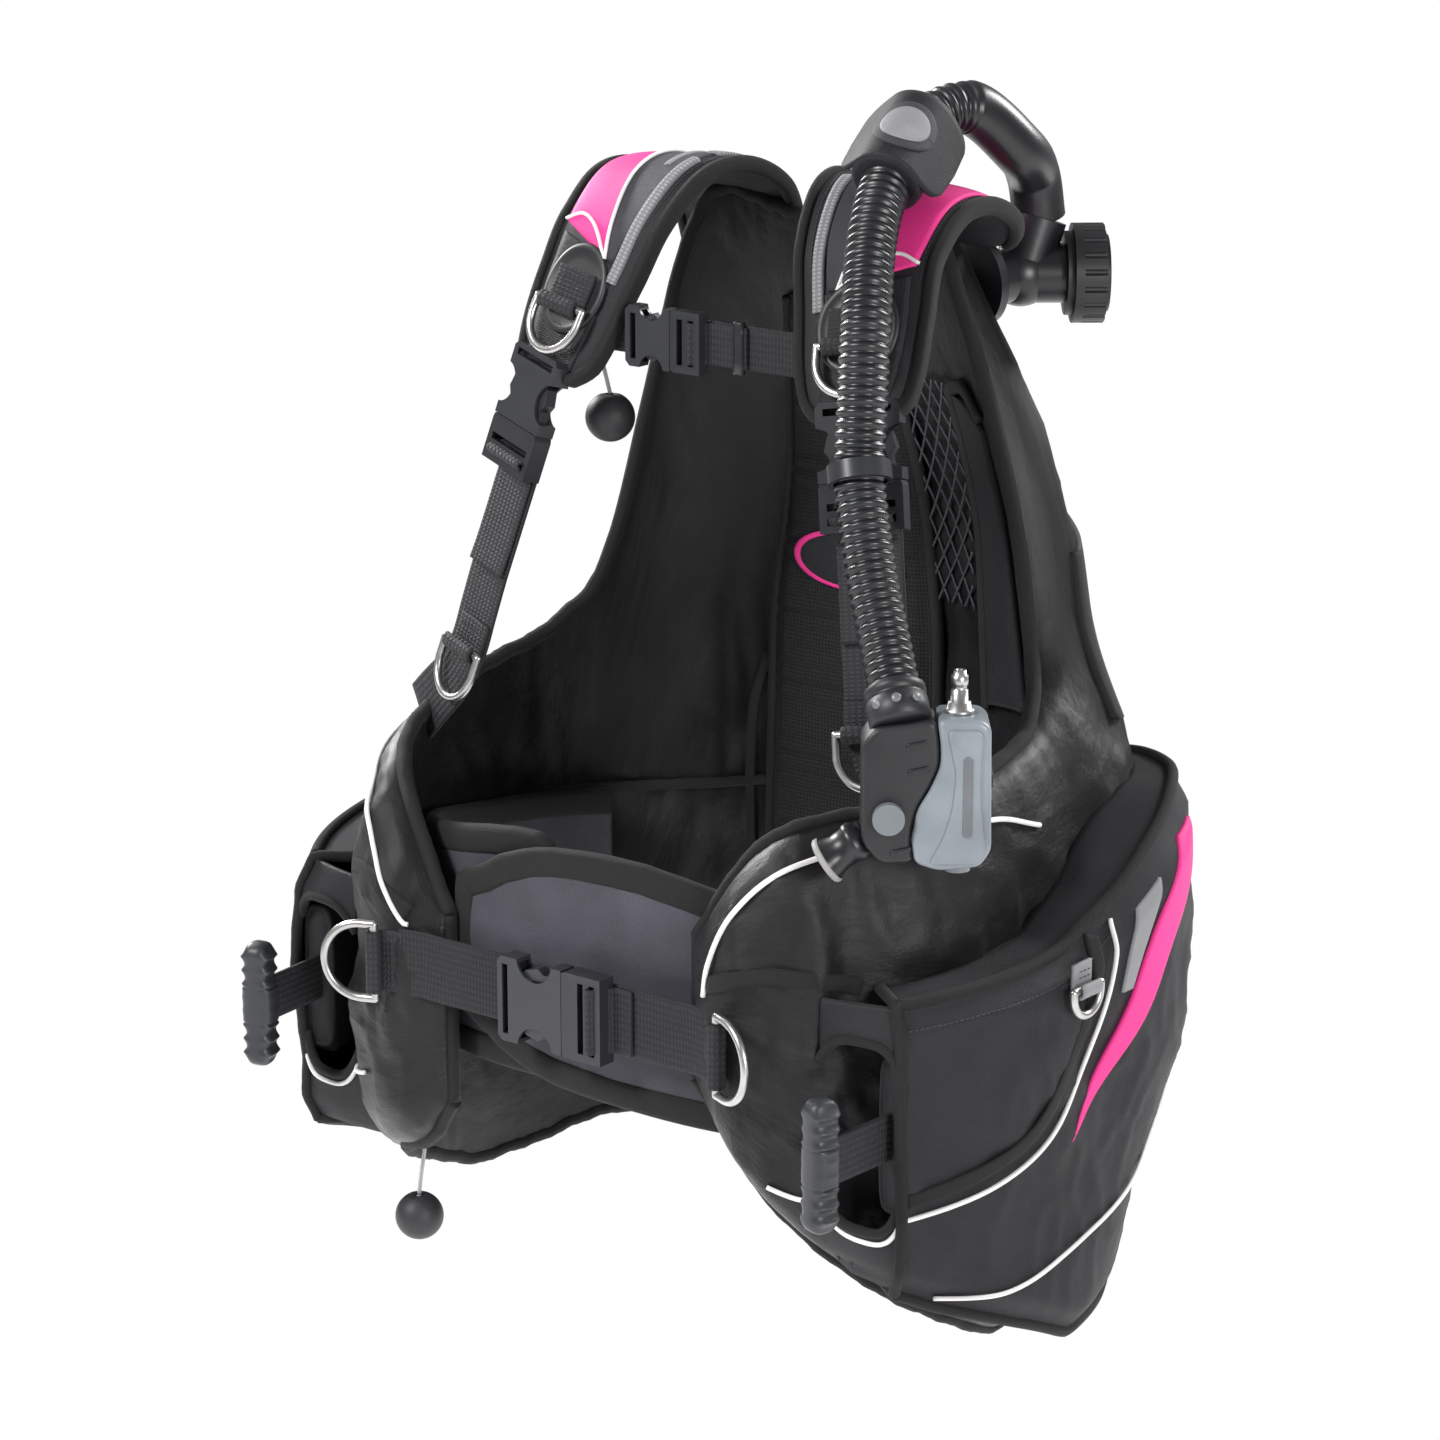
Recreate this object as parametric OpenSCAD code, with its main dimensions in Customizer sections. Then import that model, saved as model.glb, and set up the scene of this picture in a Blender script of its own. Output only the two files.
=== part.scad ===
// Buoyancy compensator vest, jacket style. Millimetres, +Z up, +X to the wearer's left, front at -Y.
// The origin is on the wearer's torso axis, level with the lowest hem.

/* [Torso] */
// Half width of the wearer's space at the waist
waist_half_w = 190; // [184:1:196]
// Half depth of the wearer's space at the waist
waist_half_d = 140; // [136:1:144]
// Half width of the wearer's space at the shoulders
shoulder_half_w = 145; // [141:1:149]
// Half depth of the wearer's space at the neck
neck_half_d = 98; // [95:1:101]

/* [Air cell] */
// Thickness of the inflated cell at the back
cell_back_t = 38; // [34:1:40]
// Thickness of the cell behind the weight pockets
cell_side_t = 24; // [20:1:25]

/* [Harness] */
// Width of the shoulder webbing
shoulder_web = 38; // [36:1:40]
// Width of the waist webbing
belt_web = 40; // [38:1:42]
// Width of the chest webbing
chest_web = 25; // [24:1:26]
// Thickness of all webbing
web_t = 2.4; // [2:0.2:2.6]
// Wire radius of the D-rings
wire_r = 2.4; // [2.2:0.1:2.6]

/* [Inflator] */
// Outer diameter of the corrugated hose
hose_d = 28; // [26:1:29]
// Outer radius of the quick-connect nipple
nipple_r = 4.5; // [4.3:0.1:4.6]

/* [Weights] */
// Length of a weight pouch
pouch_l = 118; // [105:1:120]
// Height of a weight pouch
pouch_h = 100; // [80:1:104]

/* [Hidden] */
squareness = 2.6;
fine = 48;
ring_gap = 0.45;
front_end = 146;
cell_edge_t = 5;

// |angle| and height of the cell's top edge: collar, armhole, top of the lobe, on the wearer's left and right
left_top = [[0, 604], [20, 611], [36, 621], [43, 612], [49, 570], [53, 500], [57, 425], [62, 370], [74, 342],
    [90, 332], [106, 327], [122, 325], [132, 316], [139, 292], [146, 250]];
right_top = [[0, 604], [20, 611], [36, 621], [43, 612], [49, 570], [53, 500], [57, 425], [62, 368], [74, 340],
    [90, 330], [106, 316], [122, 302], [132, 280], [139, 258], [146, 226]];
// |angle| and height of the cell's bottom edge, on the wearer's left and right
left_hem = [[0, 34], [48, 28], [62, 22], [74, 6], [90, 4], [100, 22], [112, 46], [124, 78], [134, 112], [141, 148],
    [146, 178]];
right_hem = [[0, 34], [48, 28], [62, 24], [74, 12], [90, 12], [100, 26], [112, 44], [124, 66], [134, 78], [141, 92],
    [146, 120]];
// Angles of the cell's columns on one side, closer together round the armhole
columns = concat([for (a = [0:6:42]) a], [for (a = [44.5:2.5:62]) a], [for (a = [66:6:138]) a], [142, front_end]);

// Centre line of the hose from the exhaust elbow to the inflator; it swings at the eleventh point
hose_route = [[107, 158, 612], [107, 151, 637], [114, 125, 655], [101, 94, 680], [91, 60, 671], [97, 24, 647],
    [110, -8, 620], [127, -36, 584], [136, -51, 543], [142, -61, 505], [151, -69, 482], [164, -79, 454],
    [181, -91, 426], [196, -103, 405]];
swing_at = 10;
swing_gap = 1.2;
swing_ball_r = hose_d / 2 + 0.4;

// Centre line of the right shoulder pad, from behind the shoulder to the chest, and its half widths
pad_route = [[-70, 118, 562], [-74, 111, 606], [-78, 98, 624], [-81, 70, 635], [-85, 42, 630], [-90, 18, 607],
    [-97, 4, 577], [-103, -8, 547], [-108, -18, 522]];
pad_half_w = [44, 47, 49, 48, 45, 41, 38, 35, 28];

// ---------------------------------------------------------------- shared functions

function smooth(t) = let (u = max(0, min(1, t))) u * u * (3 - 2 * u);
function half_w(z) = waist_half_w - (waist_half_w - shoulder_half_w) * smooth((z - 230) / 370);
function half_d(z) = waist_half_d - (waist_half_d - neck_half_d) * smooth((z - 420) / 210);

// A point off the wearer's torso: angle from the spine, height, and distance outwards
function wall(angle, z, off) =
    let (s = sin(angle), c = cos(angle), a = half_w(z), b = half_d(z),
        r = pow(pow(abs(s) / a, squareness) + pow(abs(c) / b, squareness), -1 / squareness),
        nx = sign(s) * pow(r * abs(s) / a, squareness - 1) / a,
        ny = sign(c) * pow(r * abs(c) / b, squareness - 1) / b,
        l = norm([nx, ny]))
    [r * s + off * nx / l, r * c + off * ny / l, z];

// A table read with its corners rounded
function eased(x, table, d = 3) = (lookup(x - d, table) + 2 * lookup(x, table) + lookup(x + d, table)) / 4;
function unit(v) = v / norm(v);
function mirrored(points) = [for (p = points) [-p[0], p[1], p[2]]];

// A smooth line through points, with a number of steps between each two
function spline(p, steps = 3) = concat(
    [for (i = [0:len(p) - 2], k = [0:steps - 1])
        let (t = k / steps, a = p[max(i - 1, 0)], b = p[i], c = p[i + 1], d = p[min(i + 2, len(p) - 1)])
        0.5 * (2 * b + t * (c - a) + t * t * (2 * a - 5 * b + 4 * c - d) + t * t * t * (3 * b - a - 3 * c + d))],
    [p[len(p) - 1]]);
function tangent(p, i) = unit(p[min(i + 1, len(p) - 1)] - p[max(i - 1, 0)]);

// ---------------------------------------------------------------- shared modules

// Closed solid between two grids of points; the first grid is the outer one
module sheet(outer, inner) {
    n = len(outer);
    m = len(outer[0]);
    s = n * m;
    border = concat([for (j = [0:m - 1]) j], [for (i = [1:n - 1]) i * m + m - 1],
        [for (j = [m - 2:-1:0]) (n - 1) * m + j], [for (i = [n - 2:-1:1]) i * m]);
    points = concat([for (row = outer) each row], [for (row = inner) each row]);
    faces = concat(
        [for (i = [0:n - 2], j = [0:m - 2], k = [0, 1]) let (a = i * m + j)
            k == 0 ? [a, a + m, a + m + 1] : [a, a + m + 1, a + 1]],
        [for (i = [0:n - 2], j = [0:m - 2], k = [0, 1]) let (a = s + i * m + j)
            k == 0 ? [a, a + m + 1, a + m] : [a, a + 1, a + m + 1]],
        [for (i = [0:len(border) - 1], k = [0, 1]) let (a = border[i], b = border[(i + 1) % len(border)])
            k == 0 ? [a, b + s, a + s] : [a, b, b + s]]);
    polyhedron(points, faces);
}

// Closed solid through rings of points, with both ends capped
module loft(rings) {
    n = len(rings);
    m = len(rings[0]);
    centres = [for (r = [rings[0], rings[n - 1]]) [for (k = [0:2]) let (sum = [for (p = r) p[k]]) sum * [for (p = r) 1] / m]];
    faces = concat(
        [for (i = [0:n - 2], j = [0:m - 1], k = [0, 1]) let (a = i * m + j, b = i * m + (j + 1) % m)
            k == 0 ? [a, b, b + m] : [a, b + m, a + m]],
        [for (j = [0:m - 1]) [n * m, (j + 1) % m, j]],
        [for (j = [0:m - 1]) [n * m + 1, (n - 1) * m + j, (n - 1) * m + (j + 1) % m]]);
    polyhedron(concat([for (r = rings) each r], centres), faces);
}

// Round tube along a line
module tube(line, d, sides = 12) {
    loft([for (i = [0:len(line) - 1]) let (t = tangent(line, i), u = unit(cross(t, [0.9, 0.1, 0.3])), v = cross(t, u))
        [for (j = [0:sides - 1]) line[i] + d / 2 * (cos(360 * j / sides) * u - sin(360 * j / sides) * v)]]);
}

// Flat band along a line: half widths, thickness, and the way its width points
module band(line, half, t, across) {
    loft([for (i = [0:len(line) - 1]) let (d = tangent(line, i), n = unit(cross(across, d)), w = unit(cross(d, n)),
            h = is_list(half) ? half[i] : half)
        [for (q = [[-1, -0.35], [-0.93, -0.5], [0.93, -0.5], [1, -0.35], [1, 0.35], [0.93, 0.5], [-0.93, 0.5], [-1, 0.35]])
            line[i] + q[0] * h * w + q[1] * t * n]]);
}

module on_side(side) {
    if (side > 0) mirror([1, 0, 0]) children();
    else children();
}

// ---------------------------------------------------------------- air cell, pads and pockets

function cell_t(angle) = let (a = abs(angle))
    (cell_back_t - (cell_back_t - cell_side_t) * smooth((a - 62) / 12) + 10 * smooth((a - 120) / 8))
        * smooth((front_end + 6 - a) / 16);
function cell_top(angle) = eased(abs(angle), angle > 0 ? left_top : right_top);
function cell_hem(angle) = eased(abs(angle), angle > 0 ? left_hem : right_hem);

// Extra fullness of the cell over the hip, behind the pocket
hip_at = 60;
hip_t = 20;
function hip(a, z) = hip_t * smooth(1 - abs(abs(a) - hip_at) / 20) * smooth((400 - z) / 110) * smooth((z - 40) / 150);
function cell_off(a, z) = let (v = (z - cell_hem(a)) / (cell_top(a) - cell_hem(a)),
    fat = sqrt(max(0, 1 - pow(2 * v - 1, 4)))) cell_edge_t + (cell_t(a) + hip(a, z) - cell_edge_t) * fat;
function cell_skin(a, z) = wall(a, z, cell_off(a, z));

module air_cell() {
    angles = concat([for (i = [len(columns) - 1:-1:1]) -columns[i]], columns);
    rows = 10;
    function level(a, j) = cell_hem(a) + (cell_top(a) - cell_hem(a)) * j / rows;
    color("#1b1b1f")
        sheet([for (a = angles) [for (j = [0:rows]) cell_skin(a, level(a, j))]],
            [for (a = angles) [for (j = [0:rows]) wall(a, level(a, j), 0)]]);
}

back_pad_edge = [[60, 34], [110, 60], [200, 63], [365, 60], [490, 42], [560, 30]];
module back_pad() {
    pad_front = -15;
    pad_rear = -1;
    heights = [for (z = [70:35:560]) z];
    function at(k, z, off) = let (x = k * eased(z, back_pad_edge, 12), p = wall(0, z, off)) [x, p[1] - 0.0011 * x * x, z];
    color("#17171a")
        sheet([for (k = [-1:0.25:1]) [for (z = heights) at(k, z, pad_rear)]],
            [for (k = [-1:0.25:1]) [for (z = heights) at(k, z, pad_front * (1 - 0.5 * pow(abs(k), 4)))]]);
}

module cummerbund(side, from, to, off) {
    low = [[60, 120], [90, 128], [130, 146], [160, 150], [185, 152], [200, 162], [214, 186]];
    high = [[60, 232], [90, 240], [130, 262], [160, 280], [185, 277], [200, 268], [214, 240]];
    pad_t = 7;
    angles = [for (a = [from:6:to]) a];
    color("#3a3a44")
        on_side(-side)
            sheet([for (a = angles) [for (v = [0:0.2:1]) wall(a, lookup(a, low) * (1 - v) + lookup(a, high) * v, off)]],
                [for (a = angles) [for (v = [0:0.2:1]) wall(a, lookup(a, low) * (1 - v) + lookup(a, high) * v, off - pad_t)]]);
}
module left_cummerbund() cummerbund(1, 60, 212, -2);
module right_cummerbund() cummerbund(-1, 60, 168, -12);

// Outer pocket, sewn to the cell along its rim, open at the front and tapering to its rear edge
pocket_front = 117;
pocket_rear = 48;
pocket_wall = 3;
sewn_depth = 1;
// The pocket stands out furthest near its rear top, and least at its rear edge
pocket_edge_off = 42;
pocket_front_off = 66;
function pocket_rise(z) = 50 + 38 * smooth((z - 20) / 190);
function pocket_full(a, z) = pocket_front_off + (pocket_rise(z) - pocket_front_off) * (1 - smooth((a - hip_at) / 34));
function pocket_off(a, z) =
    pocket_edge_off + (pocket_full(a, z) - pocket_edge_off) * smooth((a - pocket_rear) / 14);
module pocket(side) {
    top = [[48, 304], [57, 314], [66, 306], [74, 288], [82, 266], [93, 246], [117, 236]];
    low = [[48, 60], [57, 42], [66, 28], [78, 18], [90, 16], [100, 36], [112, 60], [117, 72]];
    function seam_off(a, z) = cell_off(side * a, z) - sewn_depth;
    function cloth(a, z, t) = wall(a, z, pocket_off(a, z) - t);
    function outline(a, t) = let (hem = lookup(a, low) + t, crown = lookup(a, top) - t, rise = crown - hem) [
        wall(a, hem, seam_off(a, hem)),
        cloth(a, hem, t + 8),
        cloth(a, hem + 16, t),
        cloth(a, hem + 0.4 * rise, t),
        cloth(a, hem + 0.7 * rise, t),
        cloth(a, crown - 20, t),
        cloth(a, crown, t + 9),
        wall(a, crown, seam_off(a, crown))];
    angles = [for (a = [pocket_rear:3:pocket_front]) a];
    color("#26262c")
        on_side(-side)
            sheet([for (a = angles) outline(a, 0)], [for (a = angles) outline(a, pocket_wall)]);
}
module left_pocket() pocket(1);
module right_pocket() pocket(-1);

// The left pad starts higher, above the exhaust elbow
module shoulder_pad(side) {
    pad_t = 13;
    first = side > 0 ? 1 : 0;
    kept = [first:len(pad_route) - 1];
    line = spline([for (i = kept) pad_route[i]], 2);
    half = [for (p = spline([for (i = kept) [pad_half_w[i], 0, 0]], 2)) p[0]];
    color("#2b2b31") on_side(side) band(line, half, pad_t, [1, -0.12, 0.1]);
}
module right_shoulder_pad() shoulder_pad(-1);
module left_shoulder_pad() shoulder_pad(1);

// ---------------------------------------------------------------- buckles and rings

// Frames of the right shoulder strap: the buckle's mouth, with local Z up the webbing and -Y outwards
strap_mouth = [-121, -29, 492];
strap_face = -20;
strap_lean = [-12, 13, 0];
module strap_frame(side) on_side(side) translate(strap_mouth) rotate(strap_lean) rotate([0, 0, strap_face]) children();
// Chest and belt frames: local Z runs from the clip into the buckle
chest_mouth = [-22, -14, 551];
module chest_frame() translate(chest_mouth) rotate([0, -90, 0]) children();
belt_mouth = [14, -155, 200];
module belt_frame() translate(belt_mouth) rotate([0, -90, 0]) children();

// Female half of a side-release buckle for webbing of width w
module buckle_body(w) {
    t = 0.22 * w + 3;
    l = 0.95 * w + 8;
    skin = 1.8;
    color("#2c2e33")
        translate([0, t / 2, 0]) rotate([90, 0, 0]) difference() {
            linear_extrude(t) difference() {
                polygon([[-w / 2 - 5, 0], [w / 2 + 5, 0], [w / 2 + 5, l - 3], [w / 2 + 2, l], [-w / 2 - 2, l],
                    [-w / 2 - 5, l - 3]]);
                for (k = [-1, 1]) translate([k * (w / 2 + 6), 0.42 * l]) circle(0.27 * l, $fn = fine);
                translate([-w / 2 - 0.5, l - 7.5]) square([w + 1, 4]);
            }
            translate([-w / 2 - 2.5, -1, skin]) cube([w + 5, 0.72 * l + 1, t - 2 * skin]);
        }
}

// Male half: two prongs, a guide tongue and a ladder for the webbing
module buckle_clip(w) {
    t = 0.22 * w + 3;
    prong_t = t - 4.6;
    l = 0.95 * w + 8;
    base = 0.45 * w + 10;
    color("#3c3f46")
        translate([0, t / 2, 0]) rotate([90, 0, 0]) union() {
            linear_extrude(t) difference() {
                polygon([[-w / 2 - 4, -0.4], [w / 2 + 4, -0.4], [w / 2 + 5, -3], [w / 2 + 5, -base], [-w / 2 - 5, -base],
                    [-w / 2 - 5, -3]]);
                for (y = [-base + 4, -base + 12]) translate([-w / 2 - 0.5, y]) square([w + 1, 4]);
            }
            translate([0, 0, (t - prong_t) / 2]) linear_extrude(prong_t) union() {
                translate([-0.08 * w, -1]) square([0.16 * w, 0.5 * l]);
                for (k = [-1, 1]) polygon([[k * (w / 2 - 4.5), -1], [k * (w / 2 + 0.5), -1], [k * (w / 2 - 1.5), 0.3 * l],
                    [k * (w / 2 + 1.5), 0.4 * l], [k * (w / 2 - 1), 0.6 * l], [k * (w / 2 - 5), 0.64 * l],
                    [k * (w / 2 - 6.5), 0.35 * l]]);
            }
        }
}

module right_shoulder_buckle() strap_frame(-1) buckle_body(shoulder_web);
module left_shoulder_buckle() strap_frame(1) buckle_body(shoulder_web);
module right_shoulder_clip() strap_frame(-1) buckle_clip(shoulder_web);
module left_shoulder_clip() strap_frame(1) buckle_clip(shoulder_web);
module chest_buckle() chest_frame() buckle_body(chest_web);
module chest_clip() chest_frame() buckle_clip(chest_web);
module belt_buckle() belt_frame() buckle_body(belt_web);
module belt_clip() belt_frame() buckle_clip(belt_web);

// D-ring with its bar along local X at the origin and its bow towards local -Z
module d_ring(w, drop) {
    r = w / 2 + wire_r;
    color("#8f9196") union() {
        rotate([0, 90, 0]) cylinder(h = 2 * r, r = wire_r, center = true, $fn = fine);
        for (k = [-1, 1]) {
            translate([k * r, 0, 0]) sphere(wire_r, $fn = fine);
            translate([k * r, 0, -drop]) cylinder(h = drop, r = wire_r, $fn = fine);
        }
        translate([0, 0, -drop]) rotate([-90, 0, 0]) rotate_extrude(angle = 180, $fn = 96)
            translate([r, 0]) circle(wire_r, $fn = fine);
    }
}

// Webbing tab round a ring's bar, with a tail that runs up along local Z
module ring_tab(w, tail) {
    bore = wire_r + ring_gap;
    color("#2a2a2e") difference() {
        union() {
            rotate([0, 90, 0]) cylinder(h = w, r = bore + web_t, center = true, $fn = fine);
            translate([-w / 2, bore, 0]) cube([w, web_t, tail]);
        }
        rotate([0, 90, 0]) cylinder(h = w + 2, r = bore, center = true, $fn = fine);
    }
}

// Where each kind of ring sits, as [position, turn about X, Y, Z, webbing width, drop]
pad_ring = [[-102, -17.5, 563], [-23, 8, -10], 34, 8];
strap_ring = [[-147, -56.5, 361], [-16, 8, -20], 34, 11];
belt_ring = [[-124, -162, 201], [0, 90, 22], 40, 8];
pocket_ring = [[-262, -12, 228], [0, 0, -88], 20, 3];
rings = [pad_ring, strap_ring, belt_ring, pocket_ring];
tails = [20, 16, 18, 12];
module ring_frame(side, spec) on_side(side) translate(spec[0]) rotate([0, 0, spec[1][2]]) rotate([0, spec[1][1], 0])
    rotate([spec[1][0], 0, 0]) children();
module ring(side, k) ring_frame(side, rings[k]) d_ring(rings[k][2], rings[k][3]);

module right_shoulder_ring() ring(-1, 0);
module left_shoulder_ring() ring(1, 0);
module right_strap_ring() ring(-1, 1);
module left_strap_ring() ring(1, 1);
module right_belt_ring() ring(-1, 2);
module left_belt_ring() ring(1, 2);
module right_pocket_ring() ring(-1, 3);
module left_pocket_ring() ring(1, 3);
module ring_tabs() for (side = [-1, 1], k = [0:3]) ring_frame(side, rings[k]) ring_tab(rings[k][2] - 3, tails[k]);

// ---------------------------------------------------------------- webbing

web_gap = 0.5;
function buckle_t(w) = 0.22 * w + 3;
function behind(w) = buckle_t(w) / 2 + web_gap + web_t / 2;

// Webbing behind a buckle and its clip, in the buckle's own frame, so that the clip slides along it
module buckle_web(w, from, to) {
    color("#3b3b42") translate([-w / 2, behind(w) - web_t / 2, from]) cube([w, web_t, to - from]);
}

lobe_route = [[-139, -41.3, 402.5], [-143.5, -45, 382], [-148, -49, 361], [-157, -51, 343], [-171, -50, 329],
    [-188, -47, 313]];
shoulder_web_run = 92;
module shoulder_strap(side) {
    buckle_len = 0.95 * shoulder_web + 8;
    strap_frame(side) buckle_web(shoulder_web, -shoulder_web_run, -8);
    color("#3b3b42") on_side(side) band(spline(lobe_route), shoulder_web / 2, web_t, [0.93, -0.33, -0.14]);
    color("#3b3b42") strap_frame(side) buckle_web(shoulder_web, buckle_len - 10, buckle_len + 6);
}
module right_shoulder_strap() shoulder_strap(-1);
module left_shoulder_strap() shoulder_strap(1);

chest_web_end = 52;
module chest_strap_right() chest_frame() buckle_web(chest_web, 22, chest_web_end);
module chest_strap_left() chest_frame() buckle_web(chest_web, -chest_web_end - 44, -6);

belt_ring_web = [[-70, -147.4, 200], [-84, -147.8, 200], [-98, -149.5, 201], [-113, -153, 201]];
module belt(side) color("#3b3b42") {
    on_side(side) band(spline(belt_ring_web, 2), belt_web / 2, web_t, [0, 0, 1]);
}
module right_belt() {
    belt(-1);
    belt_frame() buckle_web(belt_web, 36, 84.5);
}
module left_belt() {
    belt(1);
    belt_frame() buckle_web(belt_web, -56.5, -8);
}

// ---------------------------------------------------------------- weights

pouch_t = 19;
pouch_mouth = [208, -121, 162];
pouch_turn = -15.6;
module pouch_frame(side) on_side(-side) translate(pouch_mouth) rotate([0, 0, pouch_turn]) children();

module weight_pouch(side) {
    corner = 12;
    color("#202024") pouch_frame(side) translate([-pouch_t / 2, 0, 0]) rotate([90, 0, 90]) linear_extrude(pouch_t)
        polygon([for (q = [[2, -1, 0], [2, -1, 1], [2, 1, 1], [2, 1, 0], [pouch_l, 1, 0], [pouch_l, 1, 1],
            [pouch_l, -1, 1], [pouch_l, -1, 0]])
            let (inward = q[0] > 2 ? -1 : 1)
            [q[0] + (q[2] == 0 ? corner * inward : 0), q[1] * (pouch_h / 2 - (q[2] == 1 ? corner : 0))]]);
}
module right_weight_pouch() weight_pouch(-1);
module left_weight_pouch() weight_pouch(1);

// Ribbed T-grip on a web that leans outwards
module weight_handle(side) {
    grip = [20, 18, 76];
    rib = 5;
    stand_off = 44;
    lean = 10;
    color("#2c2f34") pouch_frame(side) union() {
        hull() {
            translate([-2, 0.5, -14]) cube([4, 1, 28]);
            translate([lean - 2, -stand_off - 1, -14]) cube([4, 1, 28]);
        }
        translate([lean, 0, 0]) difference() {
            translate([-grip[0] / 2, -stand_off - grip[1], -grip[2] / 2]) cube(grip);
            for (k = [-1, 1], z = [-grip[2] / 2 + rib:2 * rib:grip[2] / 2 - rib])
                translate([k * grip[0] / 2 - rib / 2, -stand_off - grip[1] - 1, z]) cube([rib, grip[1] + 2, rib]);
        }
    }
}
module right_weight_handle() weight_handle(-1);
module left_weight_handle() weight_handle(1);

// ---------------------------------------------------------------- tank mounting

plate_y = 179;
plate_t = 5;
tank_band_z = 330;
tank_band_w = 50;
tank_band_end = 50;
tank_band_r = 28;
tank_band_y = plate_y + plate_t + 3 + tank_band_r;
band_rear = tank_band_y + tank_band_r;

module backplate() {
    low = 205;
    high = 445;
    bridge = [8, 12, 62];
    slot = [4.2, tank_band_w + 2];
    color("#232428") union() {
        translate([0, plate_y + plate_t, 0]) rotate([90, 0, 0]) linear_extrude(plate_t) difference() {
            polygon([[-52, low], [52, low], [62, low + 12], [62, 400], [44, high], [-44, high], [-62, 400],
                [-62, low + 12]]);
            for (k = [-1, 1]) translate([k * 30, 400]) circle(9, $fn = fine);
            translate([-17, 268]) square([34, 34]);
        }
        for (k = [-1, 1]) difference() {
            translate([k * 40 - bridge[0] / 2, plate_y + plate_t - 0.5, tank_band_z - bridge[2] / 2]) cube(bridge);
            translate([k * 40 - bridge[0], plate_y + plate_t + 2.2, tank_band_z - slot[1] / 2])
                cube([2 * bridge[0], slot[0], slot[1]]);
        }
    }
}

module racetrack(r) {
    square([2 * tank_band_end, 2 * r], center = true);
    for (k = [-1, 1]) translate([k * tank_band_end, 0]) circle(r, $fn = 96);
}
module tank_band() color("#303036")
    translate([0, tank_band_y, tank_band_z - tank_band_w / 2]) linear_extrude(tank_band_w) difference() {
        racetrack(tank_band_r);
        racetrack(tank_band_r - web_t);
    }

cam_pin = [-27, 12];
cam_pin_r = 2.5;
cam_clearance = 0.08;
module cam_buckle_frame() color("#2b2d31") translate([0, band_rear + 0.3, tank_band_z]) union() {
    difference() {
        translate([-36, 0, -30]) cube([70, 3, 60]);
        for (x = [4, 22]) translate([x, -1, -26]) cube([5, 5, 52]);
    }
    for (k = [-1, 1]) translate([cam_pin[0], cam_pin[1], k * 28.5]) union() {
        cylinder(h = 3, r = 7, center = true, $fn = fine);
        translate([-7, -cam_pin[1] + 1, -1.5]) cube([14, cam_pin[1] - 1, 3]);
    }
    translate([cam_pin[0], cam_pin[1], 0]) cylinder(h = 57, r = cam_pin_r, center = true, $fn = fine);
}
module cam_buckle_lever() color("#3c3f46") translate([cam_pin[0], band_rear + 0.3 + cam_pin[1], tank_band_z])
    difference() {
        union() {
            cylinder(h = 53, r = 6.5, center = true, $fn = fine);
            translate([0, -1, -24]) cube([62, 5, 48]);
            translate([56, -3, -24]) cube([8, 7, 48]);
        }
        cylinder(h = 60, r = cam_pin_r + cam_clearance, center = true, $fn = fine);
    }

handle_route = [[-64, 148, 530], [-62, 164, 534], [-50, 182, 540], [0, 190, 544], [50, 182, 540], [62, 164, 534],
    [64, 148, 530]];
module carry_handle() color("#2a2a2e") band(spline(handle_route), 14, 6, [0, 0, 1]);

// ---------------------------------------------------------------- exhaust elbow, hose and clips

// Local Z along a direction
module along(p, v) translate(p) rotate([0, acos(v[2] / norm(v)), atan2(v[1], v[0])]) children();

elbow_base = cell_skin(41, 578);
elbow_out = [0.33, 0.94, 0.05];
elbow_centre = elbow_base + 32 * unit(elbow_out);
cap_axis = [0.77, 0.64, 0];
cap_from = 25;
module exhaust_elbow() color("#1f2023") union() {
    along(elbow_base, elbow_out) {
        translate([0, 0, 0.5]) cylinder(h = 5, r = 25, $fn = fine);
        translate([0, 0, 5]) cylinder(h = 27, r = 15.5, $fn = fine);
    }
    translate(elbow_centre) sphere(19, $fn = fine);
    along(elbow_centre, cap_axis) cylinder(h = cap_from - 0.3, r = 17, $fn = fine);
    along(elbow_centre, hose_route[0] - elbow_centre)
        cylinder(h = norm(hose_route[0] - elbow_centre) - 0.3, r = hose_d / 2 + 2.5, $fn = fine);
}
module exhaust_cap() color("#2b2c30") along(elbow_centre, cap_axis) union() {
    translate([0, 0, cap_from]) cylinder(h = 4, r = 24, $fn = 96);
    difference() {
        translate([0, 0, cap_from + 4]) cylinder(h = 18, r = 28.5, $fn = 96);
        for (a = [0:20:340]) rotate([0, 0, a]) translate([28.6, 0, cap_from + 9]) cylinder(h = 18, r = 1.8, $fn = 24);
    }
    translate([0, 0, cap_from + 22]) cylinder(h = 2.5, r = 22, $fn = 96);
}

swing = hose_route[swing_at];
above = hose_route[swing_at - 1];
upper_line = spline(concat([for (i = [0:swing_at - 1]) hose_route[i]],
    [swing + (hose_d / 2 + swing_gap) * unit(above - swing)]));
lower_line = spline([for (i = [swing_at:len(hose_route) - 1]) hose_route[i]]);
module hose_upper() color("#17181a") tube(upper_line, hose_d);
module hose_lower() color("#17181a") union() {
    tube(lower_line, hose_d);
    translate(swing) sphere(swing_ball_r, $fn = fine);
}
module hose_clip() {
    bore = hose_d / 2 + 0.5;
    color("#2c2e33") difference() {
        union() {
            along(above, above - swing) cylinder(h = 10, r = bore + 3, center = true, $fn = fine);
            strap_frame(1) translate([-17, -24, 0.5]) cube([14, 19, 9]);
        }
        along(above, above - swing) cylinder(h = 60, r = bore, center = true, $fn = fine);
    }
}
wrap_at = 4;
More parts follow.
